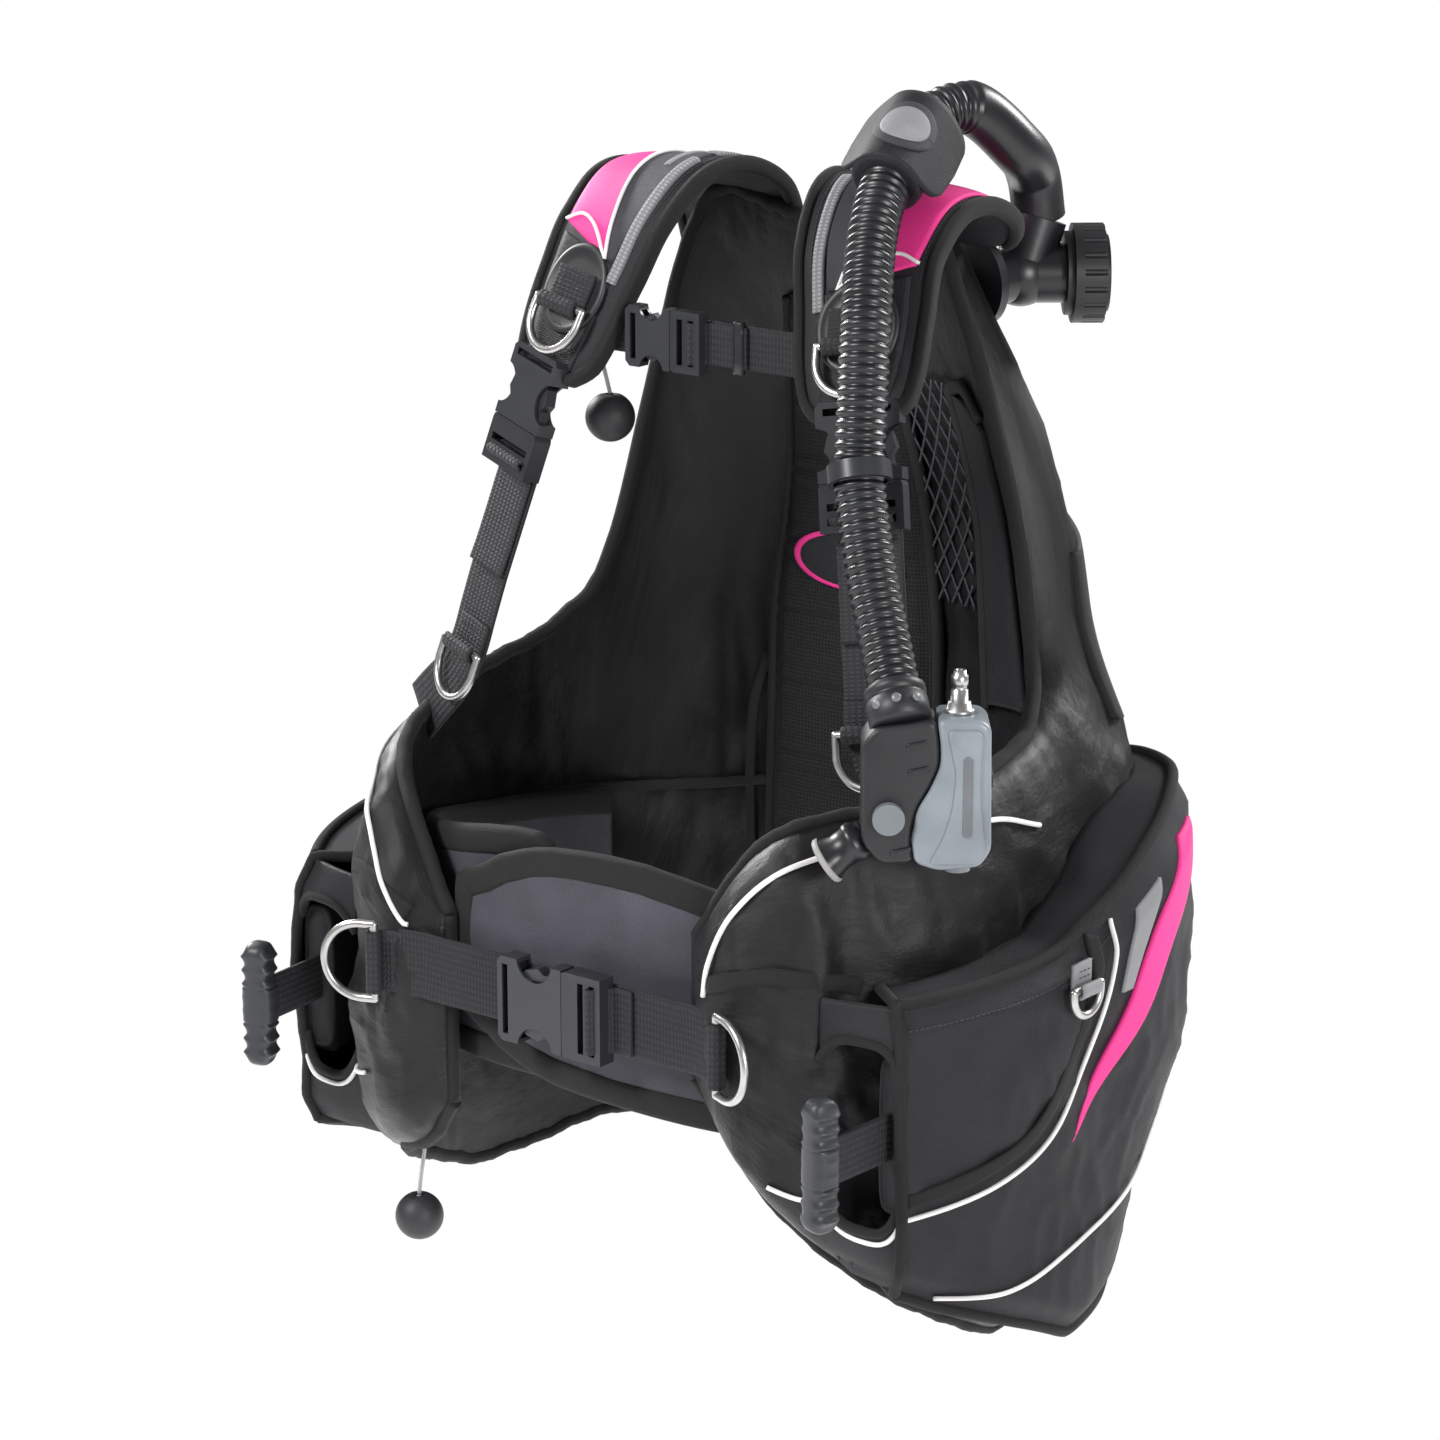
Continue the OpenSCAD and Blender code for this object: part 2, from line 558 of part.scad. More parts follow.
module hose_wrap() {
    bore = hose_d / 2 + 1.6;
    p = (hose_route[wrap_at] + hose_route[wrap_at + 1]) / 2 + [0, 1, 2];
    v = hose_route[wrap_at] - hose_route[wrap_at + 1];
    color("#1c1c20") difference() {
        along(p, v) cylinder(h = 46, r = bore + 3, center = true, $fn = fine);
        along(p, v) cylinder(h = 60, r = bore, center = true, $fn = fine);
    }
}

// ---------------------------------------------------------------- inflator

inflator_at = [214, -102, 352];
inflator_turn = 38;
module inflator_frame() translate(inflator_at) rotate([0, 0, inflator_turn]) children();
// Outline drawn in X and Z, made into a slab of depth t about local Y = 0
module slab(t) translate([0, t / 2, 0]) rotate([90, 0, 0]) linear_extrude(t) children();

split_line = [[-4, -35], [-6, -22], [-3, -6], [4, 6], [9, 18], [9, 28], [7, 43]];
button_x = 19;
button_r = 7;
button_clearance = 0.4;
thumb = [-18, -10];
thumb_r = 8.5;
casing_t = 30;
casing_gap = 0.4;
module inflator_body() {
    end = hose_route[len(hose_route) - 1];
    before = hose_route[len(hose_route) - 2];
    color("#222327") union() {
        inflator_frame() difference() {
            slab(casing_t) polygon(concat([for (p = split_line) p - [casing_gap, 0]], [[-26, 38], [-32, 30], [-32, -24],
                [-22, -36]]));
            translate([thumb[0], -casing_t / 2 + 6, thumb[1]]) rotate([90, 0, 0])
                cylinder(h = 10, r = thumb_r + button_clearance, $fn = fine);
        }
        along(end + 0.3 * unit(end - before), end - before) cylinder(h = 22, r = 16.5, $fn = fine);
    }
}
module inflator_plate() color("#9aa0a6") inflator_frame() difference() {
    slab(casing_t + 4) polygon(concat(split_line, [[30, 43], [35, 39], [36, -28], [30, -37], [8, -39]]));
    translate([button_x, 0, -39]) cylinder(h = 9, r = button_r + button_clearance, $fn = fine);
}
module mouthpiece() color("#1d1d20") inflator_frame() translate([-26.5, 0, -22]) rotate([0, -125, 0]) difference() {
    union() {
        translate([0, 0, 6]) cylinder(h = 24, r = 10, $fn = fine);
        translate([0, 0, 26]) cylinder(h = 4, r = 14, $fn = fine);
    }
    translate([0, 0, 12]) cylinder(h = 20, r = 7.5, $fn = fine);
}
nipple_base_h = 6;
plate_top = 43;
nipple_l = 14;
module hose_nipple() color("#b9bcc0") inflator_frame() translate([button_x, 0, plate_top]) union() {
    cylinder(h = nipple_base_h, r = 8, $fn = 6);
    translate([0, 0, nipple_base_h]) cylinder(h = nipple_l, r = nipple_r, $fn = fine);
    translate([0, 0, nipple_base_h + nipple_l]) cylinder(h = 3, r = nipple_r - 1.2, $fn = fine);
}
module inflate_button() color("#a9adb2") inflator_frame() translate([button_x, 0, -43])
    cylinder(h = 8.6, r = button_r, $fn = fine);
module deflate_button() color("#8d9196") inflator_frame() translate([thumb[0], -casing_t / 2 + 2, thumb[1]])
    rotate([90, 0, 0]) cylinder(h = 6.5, r = thumb_r, $fn = fine);

// ---------------------------------------------------------------- pull dumps

pull_cord_d = 2.5;
ball_r = 14.5;
shoulder_cord = [[-92, 2, 546], [-92, 3, 538], [-91.5, 6, 530], [-91, 9, 520], [-90, 12, 508]];
shoulder_ball = [-90, 12, 494];
hem_cord = [[-146, -98, 76], [-146, -98, 66], [-147, -98.5, 56], [-148.5, -99.5, 44], [-150, -100, 32]];
hem_ball = [-150, -100, 18];
guide_r = 3.2;

module cord_guide(p, h) translate(p) difference() {
    cylinder(h = h, r = guide_r + 2, $fn = fine);
    translate([0, 0, -1]) cylinder(h = h + 2, r = guide_r, $fn = fine);
}
module shoulder_cord_guide() color("#2c2e33") cord_guide([-92, 2, 538.5], 7);
module hem_dump_valve() color("#2c2e33") union() {
    p = wall(-124, 104, -0.6);
    inward = wall(-124, 104, -10) - wall(-124, 104, 0);
    along(p, inward) cylinder(h = 5, r = 19, $fn = fine);
    along(p + 4.5 * unit(inward), inward) cylinder(h = 4, r = 13, $fn = fine);
    cord_guide([-146, -98, 67], 20);
}
module ball(p) color("#2a2a2c") difference() {
    translate(p) sphere(ball_r, $fn = 96);
    translate(p + [0, 0, ball_r - 4]) cylinder(h = 8, r = pull_cord_d / 2 + 1.2, $fn = fine);
}
module shoulder_pull_cord() color("#b5b6b8") tube(spline(shoulder_cord), pull_cord_d, 8);
module shoulder_pull_ball() ball(shoulder_ball);
module hem_pull_cord() color("#b5b6b8") tube(spline(hem_cord), pull_cord_d, 8);
module hem_pull_ball() ball(hem_ball);

air_cell();
back_pad();
backplate();
tank_band();
cam_buckle_frame();
cam_buckle_lever();
carry_handle();
right_shoulder_pad();
left_shoulder_pad();
right_shoulder_strap();
left_shoulder_strap();
right_shoulder_buckle();
left_shoulder_buckle();
right_shoulder_clip();
left_shoulder_clip();
chest_strap_right();
chest_strap_left();
chest_buckle();
chest_clip();
right_cummerbund();
left_cummerbund();
right_belt();
left_belt();
belt_buckle();
belt_clip();
right_pocket();
left_pocket();
right_weight_pouch();
left_weight_pouch();
right_weight_handle();
left_weight_handle();
ring_tabs();
right_shoulder_ring();
left_shoulder_ring();
right_strap_ring();
left_strap_ring();
right_belt_ring();
left_belt_ring();
right_pocket_ring();
left_pocket_ring();
exhaust_elbow();
exhaust_cap();
hose_upper();
hose_lower();
hose_wrap();
hose_clip();
inflator_body();
inflator_plate();
mouthpiece();
hose_nipple();
inflate_button();
deflate_button();
shoulder_cord_guide();
shoulder_pull_cord();
shoulder_pull_ball();
hem_dump_valve();
hem_pull_cord();
hem_pull_ball();
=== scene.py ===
"""Looks of a jacket-style buoyancy vest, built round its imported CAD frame.

Shapes are worked out in millimetres in the frame's own axes (+Z up, +X to the wearer's left, front at
-Y) and become metres when a mesh is made. A place on the vest is mostly an angle round the wearer's
torso from the spine, in degrees, and a height.
"""

import math

import bmesh
import bpy
import numpy as np
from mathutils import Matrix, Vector, noise


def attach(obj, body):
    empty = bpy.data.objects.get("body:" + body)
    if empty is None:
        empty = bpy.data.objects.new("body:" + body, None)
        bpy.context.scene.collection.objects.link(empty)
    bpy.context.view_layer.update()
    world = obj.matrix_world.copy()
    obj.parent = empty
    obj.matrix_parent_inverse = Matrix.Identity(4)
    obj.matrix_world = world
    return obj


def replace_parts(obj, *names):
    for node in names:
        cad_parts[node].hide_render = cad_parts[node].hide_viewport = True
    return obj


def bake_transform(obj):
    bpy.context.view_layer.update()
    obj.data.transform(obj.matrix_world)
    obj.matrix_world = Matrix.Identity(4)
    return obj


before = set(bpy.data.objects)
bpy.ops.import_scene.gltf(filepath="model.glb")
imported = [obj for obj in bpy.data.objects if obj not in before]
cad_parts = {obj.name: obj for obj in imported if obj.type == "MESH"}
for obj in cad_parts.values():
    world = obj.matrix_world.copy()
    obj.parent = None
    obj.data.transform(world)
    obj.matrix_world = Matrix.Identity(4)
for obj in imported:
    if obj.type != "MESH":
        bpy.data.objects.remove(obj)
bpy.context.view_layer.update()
MM = 0.001

# ---- camera, floor and light

TARGET = Vector((0, 0, 0.330))
AZIMUTH, ELEVATION = math.radians(38), math.radians(16)
DISTANCE = 2.4
LENS = 104.4
BACKDROP_LIGHT = 0.3  # what the white world gives the scene; the camera sees it at 1
FLOOR_SIZE, FLOOR_Z = 30, -0.35
LAMPS = [("key", (-0.9, -2.2, 2.3), 0.9, 92), ("side", (2.6, -1.0, 1.0), 0.8, 48),
         ("rear", (0.9, 2.3, 1.8), 1.1, 75), ("left_rim", (-2.4, 0.6, 1.4), 0.7, 75)]


def make_camera():
    data = bpy.data.cameras.new("camera")
    data.lens, data.sensor_width = LENS, 36
    camera = bpy.data.objects.new("camera", data)
    bpy.context.scene.collection.objects.link(camera)
    back = Vector((math.sin(AZIMUTH) * math.cos(ELEVATION), -math.cos(AZIMUTH) * math.cos(ELEVATION),
                   math.sin(ELEVATION)))
    camera.location = TARGET + back * DISTANCE
    camera.rotation_euler = (-back).to_track_quat("-Z", "Y").to_euler()
    bpy.context.scene.camera = camera


def area_light(name, place, size, power):
    data = bpy.data.lights.new(name, "AREA")
    data.shape, data.size, data.energy = "DISK", size, power
    lamp = bpy.data.objects.new(name, data)
    bpy.context.scene.collection.objects.link(lamp)
    lamp.location = place
    lamp.rotation_euler = (TARGET - Vector(place)).to_track_quat("-Z", "Y").to_euler()


def make_stage():
    bpy.ops.mesh.primitive_plane_add(size=FLOOR_SIZE, location=(0, 0, FLOOR_Z))
    floor = bpy.context.object
    floor.name = "floor"
    paint = Graph("floor_paint")
    paint.set(Base_Color=(0.93, 0.93, 0.93, 1), Roughness=0.8)
    floor.data.materials.append(paint.mat)
    floor.visible_camera = False
    world = bpy.context.scene.world or bpy.data.worlds.new("world")
    bpy.context.scene.world = world
    world.use_nodes = True
    tree = world.node_tree
    colour, strength = tree.nodes["Background"].inputs[:2]
    colour.default_value = (1, 1, 1, 1)
    seen = tree.nodes.new("ShaderNodeLightPath").outputs["Is Camera Ray"]
    level = tree.nodes.new("ShaderNodeMapRange")
    level.inputs["To Min"].default_value, level.inputs["To Max"].default_value = BACKDROP_LIGHT, 1.0
    tree.links.new(seen, level.inputs["Value"])
    tree.links.new(level.outputs["Result"], strength)
    for lamp in LAMPS:
        area_light(*lamp)
    bpy.context.scene.view_settings.view_transform = "Standard"


# ---- materials

MATERIALS = {}


class Graph:
    """Short names for building a node material."""

    def __init__(self, name):
        self.mat = bpy.data.materials.new(name)
        self.mat.use_nodes = True
        self.tree = self.mat.node_tree
        self.shader = self.tree.nodes["Principled BSDF"]
        self.where = self.tree.nodes.new("ShaderNodeTexCoord")

    def feed(self, socket, value):
        if isinstance(value, bpy.types.NodeSocket):
            self.tree.links.new(value, socket)
        else:
            socket.default_value = value

    def add(self, kind, **inputs):
        node = self.tree.nodes.new(kind)
        for key, value in inputs.items():
            self.feed(node.inputs[key.replace("_", " ")], value)
        return node

    def noise(self, coords, scale, detail=3.0, rough=0.5):
        return self.add("ShaderNodeTexNoise", Vector=self.where.outputs[coords], Scale=scale, Detail=detail,
                        Roughness=rough).outputs["Fac"]

    def wave(self, pitch_mm, direction):
        """Bands in the cloth's own coordinates, every pitch_mm."""
        node = self.add("ShaderNodeTexWave", Vector=self.where.outputs["UV"],
                        Scale=2 * math.pi / (20 * pitch_mm * MM), Distortion=0.0)
        node.bands_direction = direction
        return node.outputs["Fac"]

    def maths(self, operation, a, b):
        node = self.add("ShaderNodeMath")
        node.operation = operation
        for socket, value in zip(node.inputs, (a, b)):
            self.feed(socket, value)
        return node.outputs[0]

    def ramp(self, fac, low, high, start=0.3, end=0.7):
        node = self.add("ShaderNodeValToRGB", Fac=fac)
        for element, place, colour in zip(node.color_ramp.elements, (start, end), (low, high)):
            element.position, element.color = place, (*colour, 1)
        return node.outputs["Color"]

    def grey(self, fac, low, high, **inputs):
        return self.add("ShaderNodeMapRange", Value=fac, To_Min=low, To_Max=high, **inputs).outputs["Result"]

    def bump(self, height, depth_mm, strength=1.0, **normal):
        return self.add("ShaderNodeBump", Strength=strength, Distance=depth_mm * MM, Height=height,
                        **normal).outputs["Normal"]

    def set(self, **inputs):
        for key, value in inputs.items():
            self.feed(self.shader.inputs[key.replace("_", " ")], value)


def scaled(colour, k):
    return tuple(min(1.0, c * k) for c in colour)


def fabric(name, colour, rough=0.6, pitch=1.1, weave=0.12, crease=0.5, sheen=0.15, spread=0.35):
    """Woven cloth: a plain weave, soft creases and a little variation in colour and gloss."""
    g = Graph(name)
    blotch, fine = g.noise("UV", 22, 4), g.noise("UV", 900, 2)
    over = g.maths("MULTIPLY", g.wave(pitch, "X"), g.wave(pitch, "Y"))
    tone = g.maths("ADD", g.maths("MULTIPLY", blotch, 0.6), g.maths("MULTIPLY", fine, 0.4))
    soft = g.bump(g.noise("UV", 45, 5, 0.55), 2.2, crease)
    threads = g.maths("ADD", over, g.maths("MULTIPLY", fine, 0.5))
    g.set(Base_Color=g.ramp(tone, scaled(colour, 1 - spread), scaled(colour, 1 + spread)),
          Roughness=g.grey(blotch, rough - 0.1, rough + 0.1), Normal=g.bump(threads, weave, 0.8, Normal=soft),
          Sheen_Weight=sheen * 0.1, Sheen_Roughness=0.4, Specular_IOR_Level=0.32)
    return g.mat


def webbing(name, colour, rough=0.7, pitch=2.4, ribs=0.5):
    """Heavy ribbed webbing: ribs across its length with a fine herringbone between them."""
    g = Graph(name)
    weave = g.maths("MULTIPLY", g.wave(pitch, "X"), g.wave(pitch * 1.6, "Y"))
    fine = g.noise("UV", 1100, 2)
    height = g.maths("ADD", weave, g.maths("MULTIPLY", fine, 0.4))
    g.set(Base_Color=g.ramp(height, scaled(colour, 0.62), scaled(colour, 1.3), 0.1, 0.9),
          Roughness=g.grey(fine, rough - 0.08, rough + 0.1), Normal=g.bump(height, ribs, 0.9),
          Sheen_Weight=0.03, Sheen_Roughness=0.4, Specular_IOR_Level=0.3)
    return g.mat


def plastic(name, colour, rough=0.4, grain=0.05, wear=1.6, grain_scale=1400):
    """Moulded plastic or rubber: spark-eroded grain, uneven gloss and slightly rubbed edges."""
    g = Graph(name)
    cloudy, fine = g.noise("Object", 35, 4), g.noise("Object", grain_scale, 2)
    edges = g.grey(g.add("ShaderNodeNewGeometry").outputs["Pointiness"], 0, 1, From_Min=0.52, From_Max=0.62)
    body = g.ramp(cloudy, scaled(colour, 0.85), scaled(colour, 1.15))
    mix = g.add("ShaderNodeMix")
    mix.data_type = "RGBA"
    for socket, value in zip((mix.inputs[0], *mix.inputs[6:8]), (edges, body, (*scaled(colour, wear), 1))):
        g.feed(socket, value)
    g.set(Base_Color=mix.outputs[2], Roughness=g.grey(cloudy, rough - 0.08, rough + 0.1),
          Normal=g.bump(fine, grain, 0.6))
    return g.mat


def steel(name, colour, rough=0.32):
    """Bead-blasted stainless steel with faint drawing marks and a little handling dirt."""
    g = Graph(name)
    marks, cloudy = g.noise("Object", 420, 3), g.noise("Object", 60, 3)
    g.set(Base_Color=g.ramp(cloudy, scaled(colour, 0.8), scaled(colour, 1.08)),
          Roughness=g.grey(marks, rough - 0.1, rough + 0.14), Normal=g.bump(marks, 0.03, 0.5), Metallic=1.0)
    return g.mat


def ribbed_mesh(name, colour):
    """Spacer mesh of the back pad: small round holes in offset rows."""
    g = Graph(name)
    cells = g.add("ShaderNodeTexVoronoi", Vector=g.where.outputs["UV"], Scale=420.0, Randomness=0.15)
    holes = cells.outputs["Distance"]
    g.set(Base_Color=g.ramp(holes, scaled(colour, 0.3), scaled(colour, 1.5), 0.15, 0.5),
          Normal=g.bump(holes, 0.6, 0.8), Roughness=0.85, Sheen_Weight=0.02, Specular_IOR_Level=0.2)
    return g.mat


def make_materials():
    MATERIALS.update(
        cell=fabric("cell_nylon", (0.0062, 0.0057, 0.0069), 0.43, 0.9, 0.08, 0.55, 0.22),
        panel=fabric("panel_cordura", (0.0125, 0.0118, 0.0145), 0.64, 1.3, 0.2, 0.35, 0.2),
        grey_panel=fabric("grey_cordura", (0.04, 0.038, 0.045), 0.66, 1.3, 0.2, 0.35, 0.2),
        cummerbund=fabric("cummerbund_nylon", (0.055, 0.052, 0.066), 0.62, 1.1, 0.15, 0.35, 0.2),
        tape=fabric("binding_tape", (0.012, 0.011, 0.011), 0.8, 0.8, 0.25, 0.2, 0.35),
        pink=fabric("pink_cloth", (0.78, 0.035, 0.25), 0.62, 1.1, 0.12, 0.25, 0.15, 0.12),
        light_grey=fabric("light_grey_cloth", (0.23, 0.23, 0.24), 0.6, 1.1, 0.12, 0.25, 0.1, 0.15),
        piping=fabric("white_piping", (0.78, 0.76, 0.76), 0.6, 0.8, 0.1, 0.1, 0.1, 0.06),
        thread=fabric("thread", (0.05, 0.05, 0.055), 0.6, 0.5, 0.1, 0.1, 0.2),
        webbing=webbing("black_webbing", (0.022, 0.022, 0.025)),
        pale_webbing=webbing("grey_webbing", (0.24, 0.24, 0.25)),
        mesh=ribbed_mesh("back_pad_mesh", (0.012, 0.012, 0.013)),
        moulded=plastic("moulded_black", (0.0105, 0.0105, 0.0125), 0.46),
        buckle=plastic("buckle_acetal", (0.0115, 0.012, 0.014), 0.3, 0.03, 1.9),
        grip=plastic("grip_rubber", (0.022, 0.0235, 0.028), 0.42, 0.08, 1.8),
        hose=plastic("hose_rubber", (0.0085, 0.009, 0.011), 0.34, 0.05, 1.7, 700),
        plate=plastic("inflator_grey", (0.2, 0.225, 0.25), 0.34, 0.03, 1.25),
        # painted highlight: a pale rubber colour for the ring on the mouthpiece's lip, standing in for the
        # light it catches
        pale_rubber=plastic("pale_rubber", (0.26, 0.25, 0.245), 0.5, 0.05, 1.2),
        button=plastic("button_grey", (0.12, 0.13, 0.14), 0.35, 0.03, 1.4),
        ball=plastic("ball_rubber", (0.022, 0.022, 0.025), 0.55, 0.25, 1.5, 260),
        steel=steel("blasted_steel", (0.52, 0.51, 0.50)),
        cord=webbing("grey_cord", (0.42, 0.42, 0.43), 0.7, 1.2, 0.2))


# ---- the wearer's torso and the air cell

WAIST_HALF_W, SHOULDER_HALF_W = 190, 145
WAIST_HALF_D, NECK_HALF_D = 140, 98
SQUARENESS = 2.6
MM_PER_DEGREE = 3.1  # round the torso, near enough
CELL_BACK_T, CELL_SIDE_T, CELL_EDGE_T = 38, 24, 5
FRONT_END = 146
HIP_AT, HIP_T = 60, 20
LEFT, RIGHT = 1, -1
COLLAR = [(0, 604), (20, 611), (36, 621), (43, 612), (49, 570), (53, 500), (57, 425)]
TOP_EDGE = {LEFT: COLLAR + [(62, 370), (74, 342), (90, 332), (106, 327), (122, 325), (132, 316), (139, 292),
                            (146, 250)],
            RIGHT: COLLAR + [(62, 368), (74, 340), (90, 330), (106, 316), (122, 302), (132, 280), (139, 258),
                             (146, 226)]}
BACK_HEM = [(0, 34), (48, 28)]
HEM = {LEFT: BACK_HEM + [(62, 22), (74, 6), (90, 4), (100, 22), (112, 46), (124, 78), (134, 112), (141, 148),
                         (146, 178)],
       RIGHT: BACK_HEM + [(62, 24), (74, 12), (90, 12), (100, 26), (112, 44), (124, 66), (134, 78), (141, 92),
                          (146, 120)]}


def smooth(t):
    t = np.clip(t, 0, 1)
    return t * t * (3 - 2 * t)


def shift(low, high, t):
    """Goes smoothly from low to high as t goes from 0 to 1."""
    return low + (high - low) * smooth(t)


def dome(v, power=4):
    """0 at v = 0 and v = 1, and 1 between; a higher power makes the top flatter."""
    return np.sqrt(np.clip(1 - (2 * v - 1) ** power, 0, 1))


def wall(angle, z, off):
    """Points off the wearer's torso: angle from the spine (+ to the wearer's left), height, distance."""
    angle, z, off = together(angle, z, off)
    s, c = np.sin(np.radians(angle)), np.cos(np.radians(angle))
    a = shift(WAIST_HALF_W, SHOULDER_HALF_W, (z - 230) / 370)
    b = shift(WAIST_HALF_D, NECK_HALF_D, (z - 420) / 210)
    r = ((np.abs(s) / a) ** SQUARENESS + (np.abs(c) / b) ** SQUARENESS) ** (-1 / SQUARENESS)
    nx = np.sign(s) * (r * np.abs(s) / a) ** (SQUARENESS - 1) / a
    ny = np.sign(c) * (r * np.abs(c) / b) ** (SQUARENESS - 1) / b
    length = np.hypot(nx, ny)
    return np.stack([r * s + off * nx / length, r * c + off * ny / length, z], -1)


def together(*values):
    """Arrays of one shape."""
    return np.broadcast_arrays(*(np.asarray(v, float) for v in values))


def eased(x, table, d=3.0):
    """The table read at x, with its corners rounded over d each way."""
    xs, ys = zip(*table)
    return (np.interp(x - d, xs, ys) + 2 * np.interp(x, xs, ys) + np.interp(x + d, xs, ys)) / 4


def per_side(angle, tables):
    left, right = (eased(np.abs(angle), tables[side]) for side in (LEFT, RIGHT))
    return np.where(np.asarray(angle) > 0, left, right)


def cell_top(angle):
    return per_side(angle, TOP_EDGE)


def cell_hem(angle):
    return per_side(angle, HEM)


def cell_t(angle):
    """Thickness of the inflated cell, which fades out at its front edges."""
    a = np.abs(angle)
    full = shift(CELL_BACK_T, CELL_SIDE_T, (a - 62) / 12) + 10 * smooth((a - 120) / 8)
    return full * smooth((FRONT_END + 6 - a) / 16)


def hip(angle, z):
    """Extra fullness of the cell over the hip, behind the pocket."""
    beside = smooth(1 - np.abs(np.abs(angle) - HIP_AT) / 20)
    return HIP_T * beside * smooth((400 - z) / 110) * smooth((z - 40) / 150)


def cell_off(angle, z):
    """How far the cell's outside stands off the torso."""
    v = (z - cell_hem(angle)) / (cell_top(angle) - cell_hem(angle))
    return CELL_EDGE_T + (cell_t(angle) + hip(angle, z) - CELL_EDGE_T) * dome(v)


def cell_outside(angle, z, lift=0.0):
    return wall(angle, z, cell_off(angle, z) + lift)


# ---- lines and meshes

def spline(points, steps=6):
    """Smooth line through the points, with a number of steps between each two."""
    p = np.array(points, float)
    ends = np.vstack([2 * p[0] - p[1], p, 2 * p[-1] - p[-2]])
    t = (np.arange(steps) / steps)[:, None]
    out = []
    for a, b, c, d in zip(ends[:-3], ends[1:-2], ends[2:-1], ends[3:]):
        bend, twist = 2 * a - 5 * b + 4 * c - d, 3 * b - a - 3 * c + d
        out.append(0.5 * (2 * b + t * (c - a) + t**2 * bend + t**3 * twist))
    return np.vstack(out + [p[-1:]])


def run_of(points):
    """Length along a line up to each of its points."""
    steps = np.linalg.norm(np.diff(np.asarray(points, float), axis=0), axis=1)
    return np.concatenate([[0], np.cumsum(steps)])


def spaced(table, run, n):
    """The table's rows read at n even places along a run."""
    at = np.linspace(0, run[-1], n)
    return np.stack([np.interp(at, run, column) for column in table.T], 1)


def even(points, step, extra=None):
    """The same line with points about one step apart; extra is a second table, read at the same places."""
    p = np.array(points, float)
    run = run_of(p)
    n = max(2, int(round(run[-1] / step)) + 1)
    return spaced(p, run, n) if extra is None else (spaced(p, run, n), spaced(extra, run, n))


def unit(v):
    v = np.asarray(v, float)
    return v / np.maximum(np.linalg.norm(v, axis=-1, keepdims=True), 1e-9)


def tangents(p):
    return unit(np.gradient(np.asarray(p, float), axis=0))


def make_object(name, verts, faces, mat, uv=None, body="vest"):
    """A mesh object from millimetres, on its body. uv, in millimetres too, is one pair for each vertex."""
    mesh = bpy.data.meshes.new(name)
    mesh.from_pydata((np.asarray(verts, float) * MM).tolist(), [], [list(map(int, f)) for f in faces])
    if uv is not None:
        layer = mesh.uv_layers.new(name="cloth")
        index = np.zeros(len(mesh.loops), np.int32)
        mesh.loops.foreach_get("vertex_index", index)
        layer.data.foreach_set("uv", (np.asarray(uv, float)[index] * MM).ravel().astype(np.float32))
    bm = bmesh.new()
    bm.from_mesh(mesh)
    bmesh.ops.recalc_face_normals(bm, faces=bm.faces)
    bm.to_mesh(mesh)
    bm.free()
    mesh.polygons.foreach_set("use_smooth", [True] * len(mesh.polygons))
    obj = bpy.data.objects.new(name, mesh)
    bpy.context.scene.collection.objects.link(obj)
    mesh.materials.append(MATERIALS[mat])
    if body:
        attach(obj, body)
    return obj


def run_lengths(grid, axis):
    step = np.linalg.norm(np.diff(grid, axis=axis), axis=-1)
    pad = [(0, 0), (0, 0)]
    pad[axis] = (1, 0)
    return np.pad(np.cumsum(step, axis=axis), pad)


def grid_uv(grid):
    """Lengths along the middle of a grid each way, so that a weave keeps its size."""
    mid_u, mid_v = grid.shape[0] // 2, grid.shape[1] // 2
    u = run_lengths(grid, 0)[:, mid_v:mid_v + 1] + np.zeros(grid.shape[:2])
    v = run_lengths(grid, 1)[mid_u:mid_u + 1, :] + np.zeros(grid.shape[:2])
    return np.stack([u, v], -1).reshape(-1, 2)


def grid_faces(n, m, start=0, wrap_u=False, wrap_v=False):
    i, j = np.meshgrid(np.arange(n if wrap_u else n - 1), np.arange(m if wrap_v else m - 1), indexing="ij")
    i, j = i.ravel(), j.ravel()
    i2, j2 = (i + 1) % n, (j + 1) % m
    return np.stack([i * m + j, i * m + j2, i2 * m + j2, i2 * m + j], 1) + start


def border_of(n, m):
    return np.concatenate([np.arange(m), np.arange(1, n) * m + m - 1, (n - 1) * m + np.arange(m - 2, -1, -1),
                           np.arange(n - 2, 0, -1) * m])


def slab(name, outer, inner, mat, **more):
    """Closed solid between two grids of points."""
    n, m = outer.shape[:2]
    size = n * m
    ring = border_of(n, m)
    after = np.roll(ring, -1)
    faces = np.vstack([grid_faces(n, m), grid_faces(n, m, size)[:, ::-1],
                       np.stack([ring, after, after + size, ring + size], 1)])
    verts = np.vstack([outer.reshape(-1, 3), inner.reshape(-1, 3)])
    return make_object(name, verts, faces, mat, np.tile(grid_uv(outer), (2, 1)), **more)


def lofted(name, rings, mat, caps=True, uv=None, **more):
    """Closed solid through rings of points."""
    rings = np.asarray(rings, float)
    n, m = rings.shape[:2]
    faces = [list(f) for f in grid_faces(n, m, wrap_v=True)]
    if caps:
        faces += [list(range(m))[::-1], list(range((n - 1) * m, n * m))]
    if uv is None:
        uv = grid_uv(rings)
    return make_object(name, rings.reshape(-1, 3), faces, mat, uv, **more)


def whole_turn(n):
    return np.linspace(0, 2 * np.pi, n, endpoint=False)


def superellipse(n, power, half_x, half_y):
    def squared(wave):
        return np.sign(wave) * np.abs(wave) ** (2 / power)
    return np.stack([squared(np.cos(whole_turn(n))) * half_x, squared(np.sin(whole_turn(n))) * half_y], 1)


